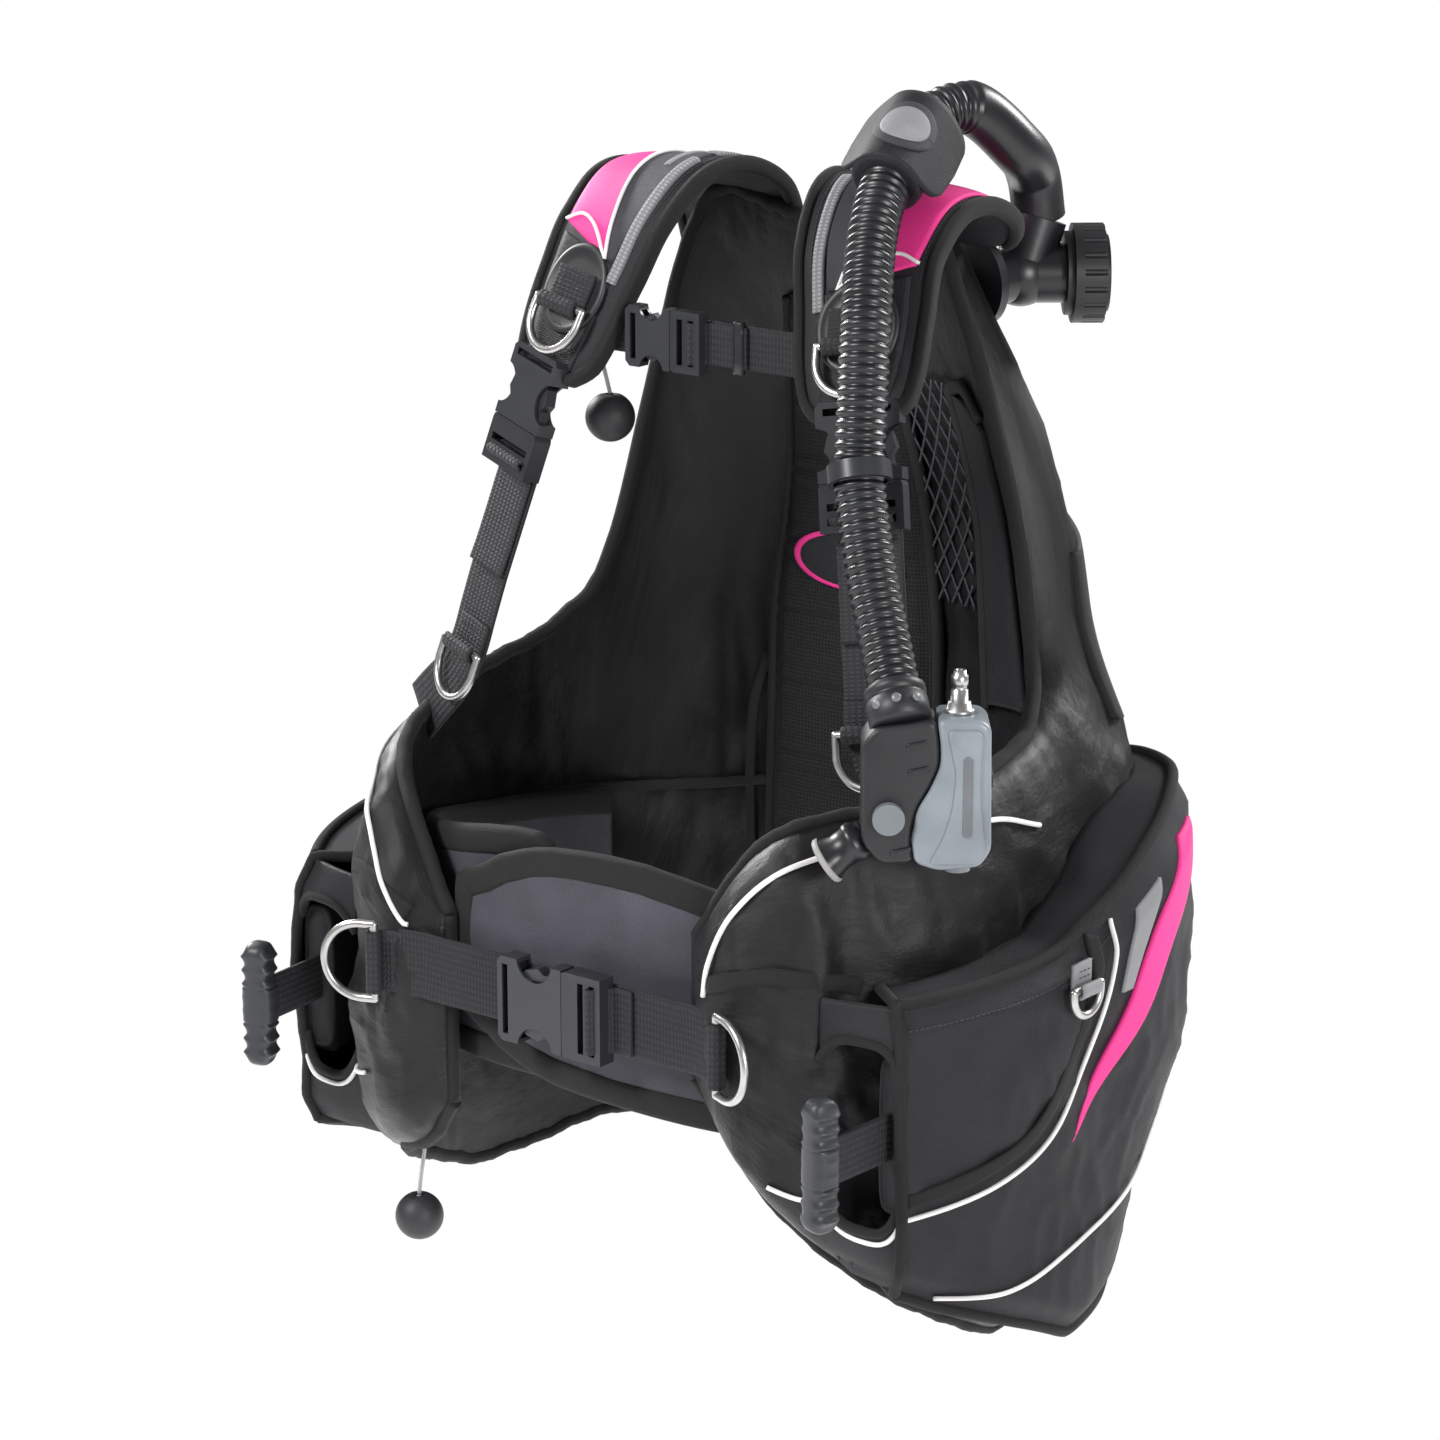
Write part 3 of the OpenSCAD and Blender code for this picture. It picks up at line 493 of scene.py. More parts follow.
def bar_faces(base, rows):
    """Faces of a closed four-sided bar whose rings of points follow each other from base."""
    faces = []
    for start in range(base, base + 4 * (rows - 1), 4):
        faces += [(start + c, start + (c + 1) % 4, start + (c + 1) % 4 + 4, start + c + 4) for c in range(4)]
    last = base + 4 * (rows - 1)
    return faces + [(base + 3, base + 2, base + 1, base), (last, last + 1, last + 2, last + 3)]


def steady_frames(line, start=(0.31, 0.17, 0.93)):
    """Two directions square to the line at each point, which turn as little as they can."""
    t = tangents(line)
    u = unit(np.cross(t[0], start))
    out = []
    for k in range(len(t)):
        u = unit(u - t[k] * np.dot(u, t[k]))
        out.append(u)
    u = np.array(out)
    return u, np.cross(t, u)


def round_tube(name, line, radius, mat, sides=12, **more):
    line = np.asarray(line, float)
    u, v = steady_frames(line)
    turn = whole_turn(sides)
    radius = np.broadcast_to(np.asarray(radius, float), (len(line),))
    rings = (line[:, None] + radius[:, None, None] * (np.cos(turn)[None, :, None] * u[:, None]
                                                      + np.sin(turn)[None, :, None] * v[:, None]))
    return lofted(name, rings, mat, **more)


# A strap's section: across from -1 to 1, through its thickness from -0.5 to 0.5
STRAP_SECTION = [(-1, 0), (-0.985, -0.4), (-0.94, -0.5), (-0.5, -0.44), (0, -0.42), (0.5, -0.44), (0.94, -0.5),
                 (0.985, -0.4), (1, 0), (0.985, 0.4), (0.94, 0.5), (0.5, 0.44), (0, 0.42), (-0.5, 0.44),
                 (-0.94, 0.5), (-0.985, 0.4)]


def strap(name, line, across, half, thick, mat="webbing", section=STRAP_SECTION, **more):
    """Flat strap along a line; across is the way its width points, once or at each point."""
    line = np.asarray(line, float)
    t = tangents(line)
    across = np.broadcast_to(np.asarray(across, float), line.shape)
    normal = unit(np.cross(across, t))
    side = unit(np.cross(t, normal))
    half = np.broadcast_to(np.asarray(half, float), (len(line),))
    q = np.array(section)
    rings = (line[:, None] + q[None, :, 0, None] * (half[:, None] * side)[:, None]
             + q[None, :, 1, None] * thick * normal[:, None])
    run = run_of(line)
    uv = np.stack([run[:, None] + 0 * q[None, :, 0], half[:, None] * (q[None, :, 0] + 1)], -1).reshape(-1, 2)
    return lofted(name, rings, mat, uv=uv, **more)


def stitches(name, line, normal, pitch=3.4, length=2.3, radius=0.32):
    """A row of separate stitches along a line, raised along normal."""
    line = np.asarray(line, float)
    normal = np.broadcast_to(np.asarray(normal, float), line.shape)
    line, normal = even(line, pitch, normal)
    t = tangents(line)
    normal = unit(normal - t * np.sum(normal * t, 1, keepdims=True))
    side = np.cross(t, normal)
    verts, faces, uv = [], [], []
    for k in range(len(line) - 1):
        base = len(verts)
        for s, lift in ((-0.5, -0.6), (-0.25, 0.5), (0.25, 0.5), (0.5, -0.6)):
            centre = line[k] + t[k] * s * length + normal[k] * lift * radius
            for w, h in ((-1, 0), (0, 0.8), (1, 0), (0, -0.8)):
                verts.append(centre + side[k] * w * radius + normal[k] * h * radius)
                uv.append((s * length, w * radius))
        faces += bar_faces(base, 4)
    return make_object(name, verts, faces, "thread", uv)


# ---- details that lie on a curved surface

def mm_per_degree(surface, path):
    a, z = path[:, 0], path[:, 1]
    return np.linalg.norm(surface(a + 0.5, z) - surface(a - 0.5, z), axis=1)


def side_steps(surface, path):
    """The change in (angle, height) that moves 1 mm to the side of a path, at each of its points."""
    scale = mm_per_degree(surface, path)
    d = np.gradient(path, axis=0)
    flat = unit(np.stack([d[:, 0] * scale, d[:, 1]], 1))
    return np.stack([-flat[:, 1] / scale, flat[:, 0]], 1)


def normals_on(surface, path):
    return unit(surface(*path.T, 1.0) - surface(*path.T, 0.0))


def strip(name, surface, path, width, mat, lift=0.6, crown=0.5, sink=1.2, steps=8, across=6, **more):
    """A tape that follows a path of (angle, height) on a surface."""
    path = even_on(surface, spline(path, steps), 3.0)
    step = side_steps(surface, path)
    w = np.linspace(-1, 1, across + 1)
    a = path[:, None, 0] + step[:, None, 0] * w * width / 2
    z = path[:, None, 1] + step[:, None, 1] * w * width / 2
    rise = lift + crown * (1 - w**4)
    outer = surface(a, z, rise)
    inner = surface(a, z, -sink)
    return slab(name, outer, inner, mat, **more)


def even_on(surface, path, step):
    """A path of (angle, height) with points about one step apart on the surface."""
    run = run_of(surface(*path.T))
    return spaced(path, run, max(3, int(round(run[-1] / step)) + 1))


def pipe(name, surface, path, radius, mat="piping", lift=0.6, steps=8, **more):
    """A round cord sewn along a path of (angle, height) on a surface."""
    path = even_on(surface, spline(path, steps), 2.5)
    return round_tube(name, surface(*path.T, lift), radius, mat, 8, **more)


def patch(name, surface, first, second, mat, lift=0.7, sink=0.8, n=60, m=14, **more):
    """A piece of cloth sewn on between two paths of (angle, height)."""
    lines = []
    for path in (first, second):
        line = spline(path, 10)
        lines.append(spaced(line, run_of(surface(*line.T)), n))
    t = np.linspace(0, 1, m)[None, :, None]
    grid = lines[0][:, None] * (1 - t) + lines[1][:, None] * t
    a, z = grid[..., 0], grid[..., 1]
    return slab(name, surface(a, z, lift), surface(a, z, -sink), mat, **more)


def sewn(name, surface, path, offset=0.0, lift=0.35, **more):
    """Stitches along a path of (angle, height), moved sideways by offset millimetres."""
    path = even_on(surface, spline(path, 8), 3.0)
    path = path + side_steps(surface, path) * offset
    line = surface(*path.T, lift)
    return stitches(name, line, normals_on(surface, path), **more)


def crumple(points, size, seed=0, ridged=False):
    """Noise from -1 to 1 at each point, over about size millimetres; ridged gives narrow folds."""
    p = np.asarray(points, float) / size + seed * 7.31
    shape = p.shape[:-1]
    flat = np.array([noise.noise(Vector(q)) for q in p.reshape(-1, 3)]).reshape(shape) * 2
    return 1 - 2 * np.abs(np.clip(flat, -1, 1)) ** 0.6 if ridged else flat


# ---- the vest's soft parts

def place_on(side, points):
    """Points given for the wearer's left, on the chosen side."""
    return np.asarray(points, float) * [side, 1, 1]


def puckers(along_mm, from_edge_mm, depth, reach, pitch, seed):
    """Gathers that run in from a sewn edge."""
    phase = along_mm / pitch + 0.55 * np.sin(along_mm / 23 + seed) + 0.4 * np.sin(along_mm / 9.7 + 2 * seed)
    return depth * np.exp(-np.maximum(from_edge_mm, 0) / reach) * np.sin(2 * np.pi * phase)


def stuff(piece, node):
    """The piece stands for a CAD node, which is hidden."""
    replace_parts(piece, node)


def make_air_cell():
    angle = np.linspace(-FRONT_END, FRONT_END, 235)[:, None]
    v = (1 - np.cos(np.linspace(0, np.pi, 78)))[None, :] / 2
    v = 0.35 * v + 0.65 * np.linspace(0, 1, 78)[None, :]
    low, high = cell_hem(angle), cell_top(angle)
    z = low + (high - low) * v
    a = angle + 0 * z
    base = cell_outside(a, z)
    loose = np.sin(np.pi * v) ** 0.6 + 0 * a
    along = a * MM_PER_DEGREE
    wrinkle = (2.9 * crumple(base, 55, 1) + 2.3 * crumple(base * [1, 1, 0.45], 26, 2, True)
               + 0.8 * crumple(base, 12, 3))
    gathers = puckers(along, high - z, 1.5, 14, 16, 1) + puckers(along, z - low, 1.5, 14, 17, 4)
    outer = cell_outside(a, z, loose * wrinkle + gathers * np.clip(loose * 3, 0, 1) + 1.0)
    face = wall(a, z, 0)
    quilt = 3.0 * loose * np.abs(np.sin(np.radians(a) * 3.1)) ** 0.5
    crease = 2.2 * crumple(face, 44, 5) + 1.8 * crumple(face * [1, 1, 0.4], 22, 6, True)
    sewn_gathers = puckers(along, high - z, 1.3, 16, 15, 2) + puckers(along, z - low, 1.3, 16, 15, 3)
    inner = wall(a, z, -(quilt + loose * crease + sewn_gathers * np.clip(loose * 3, 0, 1)) * 0.8)
    stuff(slab("air_cell_cloth", outer, inner, "cell"), "air_cell")
    around = np.linspace(-FRONT_END, FRONT_END, 300)
    for name, edge in (("top", cell_top), ("hem", cell_hem)):
        line = wall(around, edge(around), 2.5)
        line[:, 2] += 0.5 * np.sin(around * 0.9) + 0.4 * np.sin(around * 2.3 + 1)
        binding(f"cell_{name}_binding", line, 4.6)
    for side in (LEFT, RIGHT):
        heights = np.linspace(cell_hem(side * FRONT_END), cell_top(side * FRONT_END), 40).ravel()
        binding(f"cell_front_binding_{side_name(side)}", wall(side * (FRONT_END - 0.3), heights, 2.5), 4.4)


def side_name(side):
    return "left" if side == LEFT else "right"


def binding(name, line, radius):
    """Folded tape sewn over a cloth edge."""
    round_tube(name, even(line, 4), radius, "tape", 10)


PAD_EDGE = [(60, 34), (110, 60), (200, 63), (365, 60), (490, 42), (560, 30)]
PAD_LOW, PAD_HIGH, PAD_RIB_PITCH, PAD_RIB_H, PAD_BOW = 70, 560, 22, 2.6, 0.0011


def pad_half_w(z):
    return eased(z, PAD_EDGE, 12)


def back_pad_face(x, z, lift=0.0):
    """The wearer's side of the back pad: x in millimetres from the middle, and height."""
    x, z, lift = together(x, z, lift)
    y = wall(0, z, 0)[..., 1]
    thick = 15 - 7.5 * np.clip(np.abs(x) / pad_half_w(z), 0, 1.2) ** 4
    return np.stack([x, y - thick - lift - PAD_BOW * x * x, z], -1)


def make_back_pad():
    z = np.linspace(PAD_LOW, PAD_HIGH, 190)[None, :]
    k = np.linspace(-1, 1, 49)[:, None]
    x = k * pad_half_w(z)
    z = z + 0 * x
    rib_run = np.abs((z % PAD_RIB_PITCH) / PAD_RIB_PITCH - 0.5) * 2
    rib = PAD_RIB_H * dome(rib_run) * (np.abs(k) < 0.86)
    end = smooth((PAD_HIGH - z) / 14) * smooth((z - PAD_LOW) / 14)
    face = back_pad_face(x, z, (rib - PAD_RIB_H) * end - 4 * (1 - end))
    rear = np.stack([x, wall(0, z, 0)[..., 1] - 1 - PAD_BOW * x * x, z], -1)
    stuff(slab("back_pad_ribbed", face, rear, "mesh"), "back_pad")
    heights = np.linspace(PAD_LOW + 2, PAD_HIGH - 2, 120)
    for s in (RIGHT, LEFT):
        binding(f"back_pad_binding_{side_name(s)}", back_pad_face(s * pad_half_w(heights), heights, -3), 3.6)
    badge = whole_turn(48)
    for name, grow, mat, lift in (("badge_rim", 1.0, "pink", 2.2), ("badge", 0.86, "panel", 2.9)):
        ring = [back_pad_face(s * 40 * grow * np.cos(badge), 400 + s * 18 * grow * np.sin(badge), h)
                for s, h in ((1, 0), (1, lift), (0.93, lift + 0.5), (0.4, lift + 0.6))]
        lofted(f"back_pad_{name}", ring, mat)


def cell_lining(angle, z, lift=0.0):
    """The wearer's side of the air cell, clear of its wrinkles."""
    return wall(angle, z, -np.asarray(lift, float) - 3.2)


def line_back():
    """Tapes, a side panel and a drainage net on the wearer's side of the back."""
    def tape(label, path, width, lift):
        strip("lining_" + label, cell_lining, path, width, "tape", lift)
    tape("waist_tape", [(-24, 252), (-40, 243), (-58, 238), (-74, 240)], 6, 1.5)
    tape("rise_tape", [(-26, 330), (-30, 290), (-30, 200), (-27, 120)], 6, 1.5)
    patch("lining_side_panel", cell_lining, [(37, 515), (38, 430), (39, 330)],
          [(49, 500), (52, 420), (56, 338)], "panel", 2.4, 3.0)
    tape("panel_tape", [(37, 517), (38, 430), (39, 328)], 7, 2.6)
    tape("panel_top", [(37, 516), (43, 520), (49, 504)], 7, 2.6)
    net("lining_net", cell_lining, (19, 36), (385, 520), 11, 0.9)


def trim_back():
    """Tapes, seams and side flaps on the outside of the back."""
    for side in (LEFT, RIGHT):
        label = side_name(side)
        edge = [(side * a, z) for a, z in ((54, 430), (57, 385), (60, 338))]
        rear = [(side * a, z) for a, z in ((42, 448), (42, 385), (43, 322))]
        rise = [(side * a, z) for a, z in ((25, 596), (24, 480), (26, 330), (30, 180), (31, 60))]
        around = [(side * a, z) for a, z in ((0.5, 120), (16, 118), (31, 112), (45, 108))]
        patch(f"back_flap_{label}", cell_outside, edge, rear, "panel", 5.5, 2.0)
        for part, path, lift in (("flap_rear", rear, 5.0), ("flap_front", edge, 5.0), ("rise", rise, 1.6),
                                 ("hem", around, 1.6)):
            strip(f"back_{part}_tape_{label}", cell_outside, path, 7, "tape", lift)
        for offset in (-7, 7):
            row = "in" if offset * side > 0 else "out"
            sewn(f"back_rise_row_{label}_{row}", cell_outside, rise, offset, 2.6)


def net(name, surface, angles, heights, mesh_mm, radius):
    """A diamond net of round cords over a range of angles and heights."""
    verts, faces = [], []
    z = np.linspace(*heights, 60)
    scale = float(mm_per_degree(surface, np.array([[np.mean(angles), np.mean(heights)]]))[0])
    slope, step = 0.55 / scale, mesh_mm / scale
    reach = slope * (heights[1] - heights[0])
    for way in (-1, 1):
        for first in np.arange(angles[0] - reach, angles[1] + reach, step):
            a = first + (slope * (z - heights[0]) if way > 0 else slope * (heights[1] - z))
            keep = (a >= angles[0]) & (a <= angles[1])
            if keep.sum() < 3:
                continue
            path = np.stack([a[keep], z[keep]], 1)
            line = surface(*path.T, 2.0 + 0.3 * way)
            n = normals_on(surface, path)
            side = np.cross(tangents(line), n)
            base = len(verts)
            for p, up, across in zip(line, n, side):
                verts += [p + across * radius, p + up * radius, p - across * radius, p - up * radius]
            faces += bar_faces(base, len(line))
    make_object(name, verts, faces, "grip")


CUMMERBUND_LOW = [(60, 120), (90, 128), (130, 146), (160, 150), (185, 152), (200, 162), (214, 186)]
CUMMERBUND_HIGH = [(60, 232), (90, 240), (130, 262), (160, 280), (185, 277), (200, 268), (214, 240)]
CUMMERBUND_T = 7
CUMMERBUNDS = {LEFT: (60, 212, -2), RIGHT: (60, 168, -12)}


def make_cummerbund(side):
    start, end, off = CUMMERBUNDS[side]
    name = f"{side_name(side)}_cummerbund"
    angle = np.linspace(start, end, 130)[:, None]
    low, high = eased(angle, CUMMERBUND_LOW, 9), eased(angle, CUMMERBUND_HIGH, 9)
    v = np.linspace(0, 1, 26)[None, :]
    z = low + (high - low) * v
    a = angle + 0 * z
    belly = dome(v, 6)
    base = place_on(side, wall(a, z, off))
    wave = 0.8 * crumple(base, 60, 8) + 0.45 * crumple(base, 22, 9)
    outer = place_on(side, wall(a, z, off - 1.8 * (1 - belly) + np.minimum(wave, 1.0) * belly - 0.4))
    inner = place_on(side, wall(a, z, off - CUMMERBUND_T + 1.8 * (1 - belly) + 0.6 * wave * belly))
    stuff(slab(name + "_wing", outer, inner, "cummerbund"), name)
    tip = np.linspace(low[-1], high[-1], 24)[1:-1]
    edge = np.vstack([np.hstack([angle, low]), np.hstack([np.full_like(tip, end), tip]),
                      np.hstack([angle, high])[::-1]])
    middle = off - CUMMERBUND_T / 2
    line, outward = (place_on(side, wall(*edge.T, middle + lift)) for lift in (0, 1))
    flat_section(name + "_binding", line, outward, 8.5, 4.6)


def flat_section(name, line, outward_line, half, half_t):
    """Bias tape: a flattened tube along an edge, with its thickness towards outward_line."""
    line = np.asarray(line, float)
    normal = unit(outward_line - line)
    t = tangents(line)
    normal = unit(normal - t * np.sum(normal * t, 1, keepdims=True))
    side = np.cross(t, normal)
    q = superellipse(16, 2 / 0.6, half, half_t)
    rings = line[:, None] + q[None, :, :1] * side[:, None] + q[None, :, 1:] * normal[:, None]
    lofted(name, rings, "tape")


POCKET_REAR, POCKET_FRONT = 48, 117
MOUTH_SPAN = 8  # degrees the cloth of the mouth reaches past the pocket's front edge
POCKET_TOP = [(48, 304), (57, 314), (66, 306), (74, 288), (82, 266), (93, 246), (117, 236)]
POCKET_LOW = [(48, 60), (57, 42), (66, 28), (78, 18), (90, 16), (100, 36), (112, 60), (117, 72)]
POCKET_EDGE_OFF, POCKET_FRONT_OFF = 42, 66
POCKET_CLOTH_T = 3
BELT_TOP = 224


def pocket_edges(angle):
    a = np.abs(angle)
    return eased(a, POCKET_LOW, 1.5), eased(a, POCKET_TOP, 1.5)


def pocket_off(angle, z):
    """The pocket stands out furthest near its rear top, and least at its rear edge."""
    a = np.abs(angle)
    full = shift(shift(50, 88, (z - 20) / 190), POCKET_FRONT_OFF, (a - HIP_AT) / 34)
    return shift(POCKET_EDGE_OFF, full, (a - POCKET_REAR) / 14)


def pocket_outside(angle, z, lift=0.0):
    angle, z, lift = together(angle, z, lift)
    low, high = pocket_edges(angle)
    off = pocket_off(angle, z) - 8 * (1 - smooth((z - low) / 18)) - 9 * (1 - smooth((high - z) / 22))
    droop = 1.6 * np.sin(z / 31 + angle / 7) + 1.1 * np.sin(z / 17 - angle / 5)
    inside = smooth((z - low) / 26) * smooth((high - z) / 26)
    return wall(angle, z, off - 1.5 + droop * inside + lift)


def make_pocket(side):
    name = f"{side_name(side)}_pocket"
    angle = side * np.linspace(POCKET_REAR, POCKET_FRONT, 90)[:, None]
    low, high = pocket_edges(angle)
    wall_rows = np.linspace(0, 1, 60)[None, :]
    z = low + (high - low) * wall_rows
    a = angle + 0 * z
    base = pocket_outside(a, z)
    loose = np.sin(np.pi * wall_rows) ** 0.5
    fold = (1.3 * crumple(base, 48, 11 + side) + 0.9 * crumple(base * [1, 1, 0.6], 22, 13 + side, True)
            + 0.3 * crumple(base, 9, 15))
    face = pocket_outside(a, z, fold * loose)

    def gusset(edge, lift):
        sewn_at = wall(angle, edge, cell_off(angle, edge) - 1)
        return sewn_at + (pocket_outside(angle, edge, lift) - sewn_at) * np.linspace(0, 1, 7)[None, :, None]

    def skin(face, low, high, lift):
        return np.concatenate([gusset(low, lift)[:, :-1], face, gusset(high, lift)[:, -2::-1]], 1)
    outer = skin(face, low, high, 0.0)
    inner_face = pocket_outside(a, np.clip(z, low + 3, high - 3), fold * loose - POCKET_CLOTH_T)
    inner = skin(inner_face, low + 3, high - 3, -POCKET_CLOTH_T)
    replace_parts(slab(name + "_shell", outer, inner, "panel"), name)
    binding(name + "_mouth_binding", outer[-1], 3.4)
    for edge, label in ((low, "low"), (high, "top")):
        binding(f"{name}_{label}_binding", pocket_outside(angle[:, 0], edge[:, 0], -1.5), 3.6)
    close_mouth(side, name)
    decorate_lobe(side, name)


def close_mouth(side, name):
    """Cloth that narrows the pocket's mouth to a rounded opening for the weights."""
    u = np.linspace(0, 1, 26)[None, :]
    v = np.linspace(0, 1, 10)[:, None]
    angle = side * (POCKET_FRONT + MOUTH_SPAN * u)
    corner = 20 * np.abs(2 * u - 1) ** 3.5
    hem = np.maximum(74, cell_hem(angle) + 3)
    for part, shut, edge in (("lower", hem, 107 + corner),
                             ("upper", np.full_like(u, 235), 216 - corner * 0.8)):
        z = shut + (edge - shut) * v
        start = pocket_outside(side * POCKET_FRONT, z, -1)
        end = cell_outside(side * (POCKET_FRONT + MOUTH_SPAN), z, 1.5)
        middle = side * (POCKET_FRONT + MOUTH_SPAN / 2)
        outward = unit(wall(middle, z, 1) - wall(middle, z, 0))
        bow = (5 * np.sin(np.pi * u) ** 0.8 * (0.3 + 0.7 * v))[..., None]
        face = start * (1 - u[..., None]) + end * u[..., None] + bow * outward
        slab(f"{name}_mouth_{part}_cloth", face, face - 2.4 * outward, "panel")
        binding(f"{name}_mouth_{part}_tape", face[-1] - 1.2 * outward[-1], 3.0)
        if part == "lower":
            seam = (face[-3] + face[-2]) / 2 + 1.0 * outward[-2]
            round_tube(name + "_mouth_piping", even(seam, 2.5), 1.4, "piping", 8)


def decorate_lobe(side, name):
    """Piping, tapes and the coloured flash of the lobe and pocket, as (angle, height) for either side."""
    def at(points):
        return [(side * a, z) for a, z in points]
    below_top = [(142, 45), (141, 31), (137, 19), (130, 14), (120, 12), (106, 12), (94, 18), (84, 34)]
    arc = at([(a, max(float(cell_top(side * a)) - d, BELT_TOP + 2 * k)) for k, (a, d) in enumerate(below_top)])
    tape = at([(a, min(z, float(cell_top(side * a)) - 16)) for a, z in
               ((141.5, 236), (134, 246), (126, 245), (119.5, 237))])
    pipe(name + "_arc_piping", cell_outside, arc, 1.5, lift=2.6)
    strip(name + "_opening_tape", cell_outside, tape, 9, "tape", 2.0)
    pipe(name + "_front_piping", cell_outside, at([(125, 118), (128, 119), (132, 124)]), 1.4, lift=2.6)
    pipe(name + "_band_piping", pocket_outside,
         at([(84, 256), (87, 215), (91, 180), (98, 148), (106, 129), (117, 119)]), 1.4, lift=1.9)
    strip(name + "_band_tape", pocket_outside,
          at([(87.5, 250), (90.5, 213), (94.5, 181), (101, 153), (108, 138), (116.5, 129)]), 8, "tape", 1.2)
    patch(name + "_flash", pocket_outside, at([(66, 290), (68, 262), (74, 218), (82, 178), (93, 138)]),
          at([(70, 285), (74.5, 257), (80.5, 214), (86.5, 176), (93.4, 137)]), "pink", 1.8, 1.5)
    patch(name + "_flash_grey", pocket_outside, at([(75.5, 270), (78, 243), (81.5, 214)]),
          at([(80, 258), (81.5, 240), (83.5, 214)]), "light_grey", 1.6, 1.5)
    pipe(name + "_hem_piping", pocket_outside,
         at([(113, 68), (104, 64), (94, 72), (83, 84), (72, 100), (62, 134), (55, 184)]), 1.3, lift=1.9)
    sewn(name + "_top_seam", pocket_outside, at([(116, 224), (94, 233), (84, 250)]), lift=1.2)


# ---- shoulder pads and their webbing

PAD_ROUTE = [(-70, 118, 562), (-74, 111, 606), (-78, 98, 624), (-81, 70, 635), (-85, 42, 630), (-90, 18, 607),
             (-97, 4, 577), (-103, -8, 547), (-108, -18, 522)]
PAD_HALF_W = [44, 47, 49, 48, 45, 41, 38, 35, 28]
PAD_T = 13
PAD_ACROSS = (1, -0.12, 0.1)


def pad_line(side):
    """At close steps along the pad: its centre, half width, the ways off the neck and outwards, and the
    length run. The left pad starts higher, above the exhaust elbow."""
    first = 1 if side == LEFT else 0
    route = spline(PAD_ROUTE[first:], 12)
    half = spline([(h, 0, 0) for h in PAD_HALF_W[first:]], 12)[:, 0]
    t = tangents(route)
    normal = unit(np.cross(t, PAD_ACROSS))
    out = unit(np.cross(t, normal))
    run = run_of(route)
    flip = np.array([-side, 1, 1])
    return route * flip, half, out * flip, normal * flip, run


PAD_LINES = {side: pad_line(side) for side in (LEFT, RIGHT)}
PAD_LENGTH = {side: PAD_LINES[side][4][-1] for side in (LEFT, RIGHT)}


def pad_top(side):
    """The pad's outer face. Its first coordinate is millimetres from the middle, + away from the neck; its
    second is the length from behind the shoulder."""
    route, half, out, normal, run = PAD_LINES[side]

    def surface(w, s, lift=0.0):
        w, s, lift = together(w, s, lift)

        def read(table):
            return np.stack([np.interp(s, run, table[:, k]) for k in range(3)], -1)
        u = np.clip(np.abs(w) / np.interp(s, run, half), 0, 1)
        height = PAD_T / 2 - 0.8 - 4.4 * u**5 + lift
        return read(route) + w[..., None] * read(out) + height[..., None] * read(normal)
    return surface


def make_shoulder_pad(side):
    name = f"{side_name(side)}_shoulder_pad"
    route, half, _, normal, run = PAD_LINES[side]
    top = pad_top(side)
    s = np.linspace(0, PAD_LENGTH[side], 110)[:, None]
    k = np.linspace(-1, 1, 37)[None, :]
    h = np.interp(s, run, half)
    end = np.minimum(s, PAD_LENGTH[side] - s)
    h = h - 7 * (1 - np.clip(end / 14, 0, 1)) ** 2
    w = k * h
    ss = s + 0 * k
    soft = 0.5 * crumple(top(w, ss), 26, 21) * (1 - np.abs(k) ** 4)
    outer = top(w, ss, soft)
    inner = top(w, ss, -PAD_T + 1.6 + 8.8 * np.abs(k) ** 5 - 0.6 * np.sin(ss / 4.2) ** 2 * (1 - k**4))
    stuff(slab(name + "_foam", outer, inner, "panel"), name)
    middle = (outer + inner) / 2
    rim = even(np.concatenate([middle[:, 0], middle[-1, 1:], middle[:-1, -1][::-1]]), 4)
    near = np.argmin(np.linalg.norm(rim[:, None] - route[None], axis=2), axis=1)
    flat_section(name + "_binding", rim, rim + normal[near], 3.4, 5.2)
    decorate_pad(side, name, top)


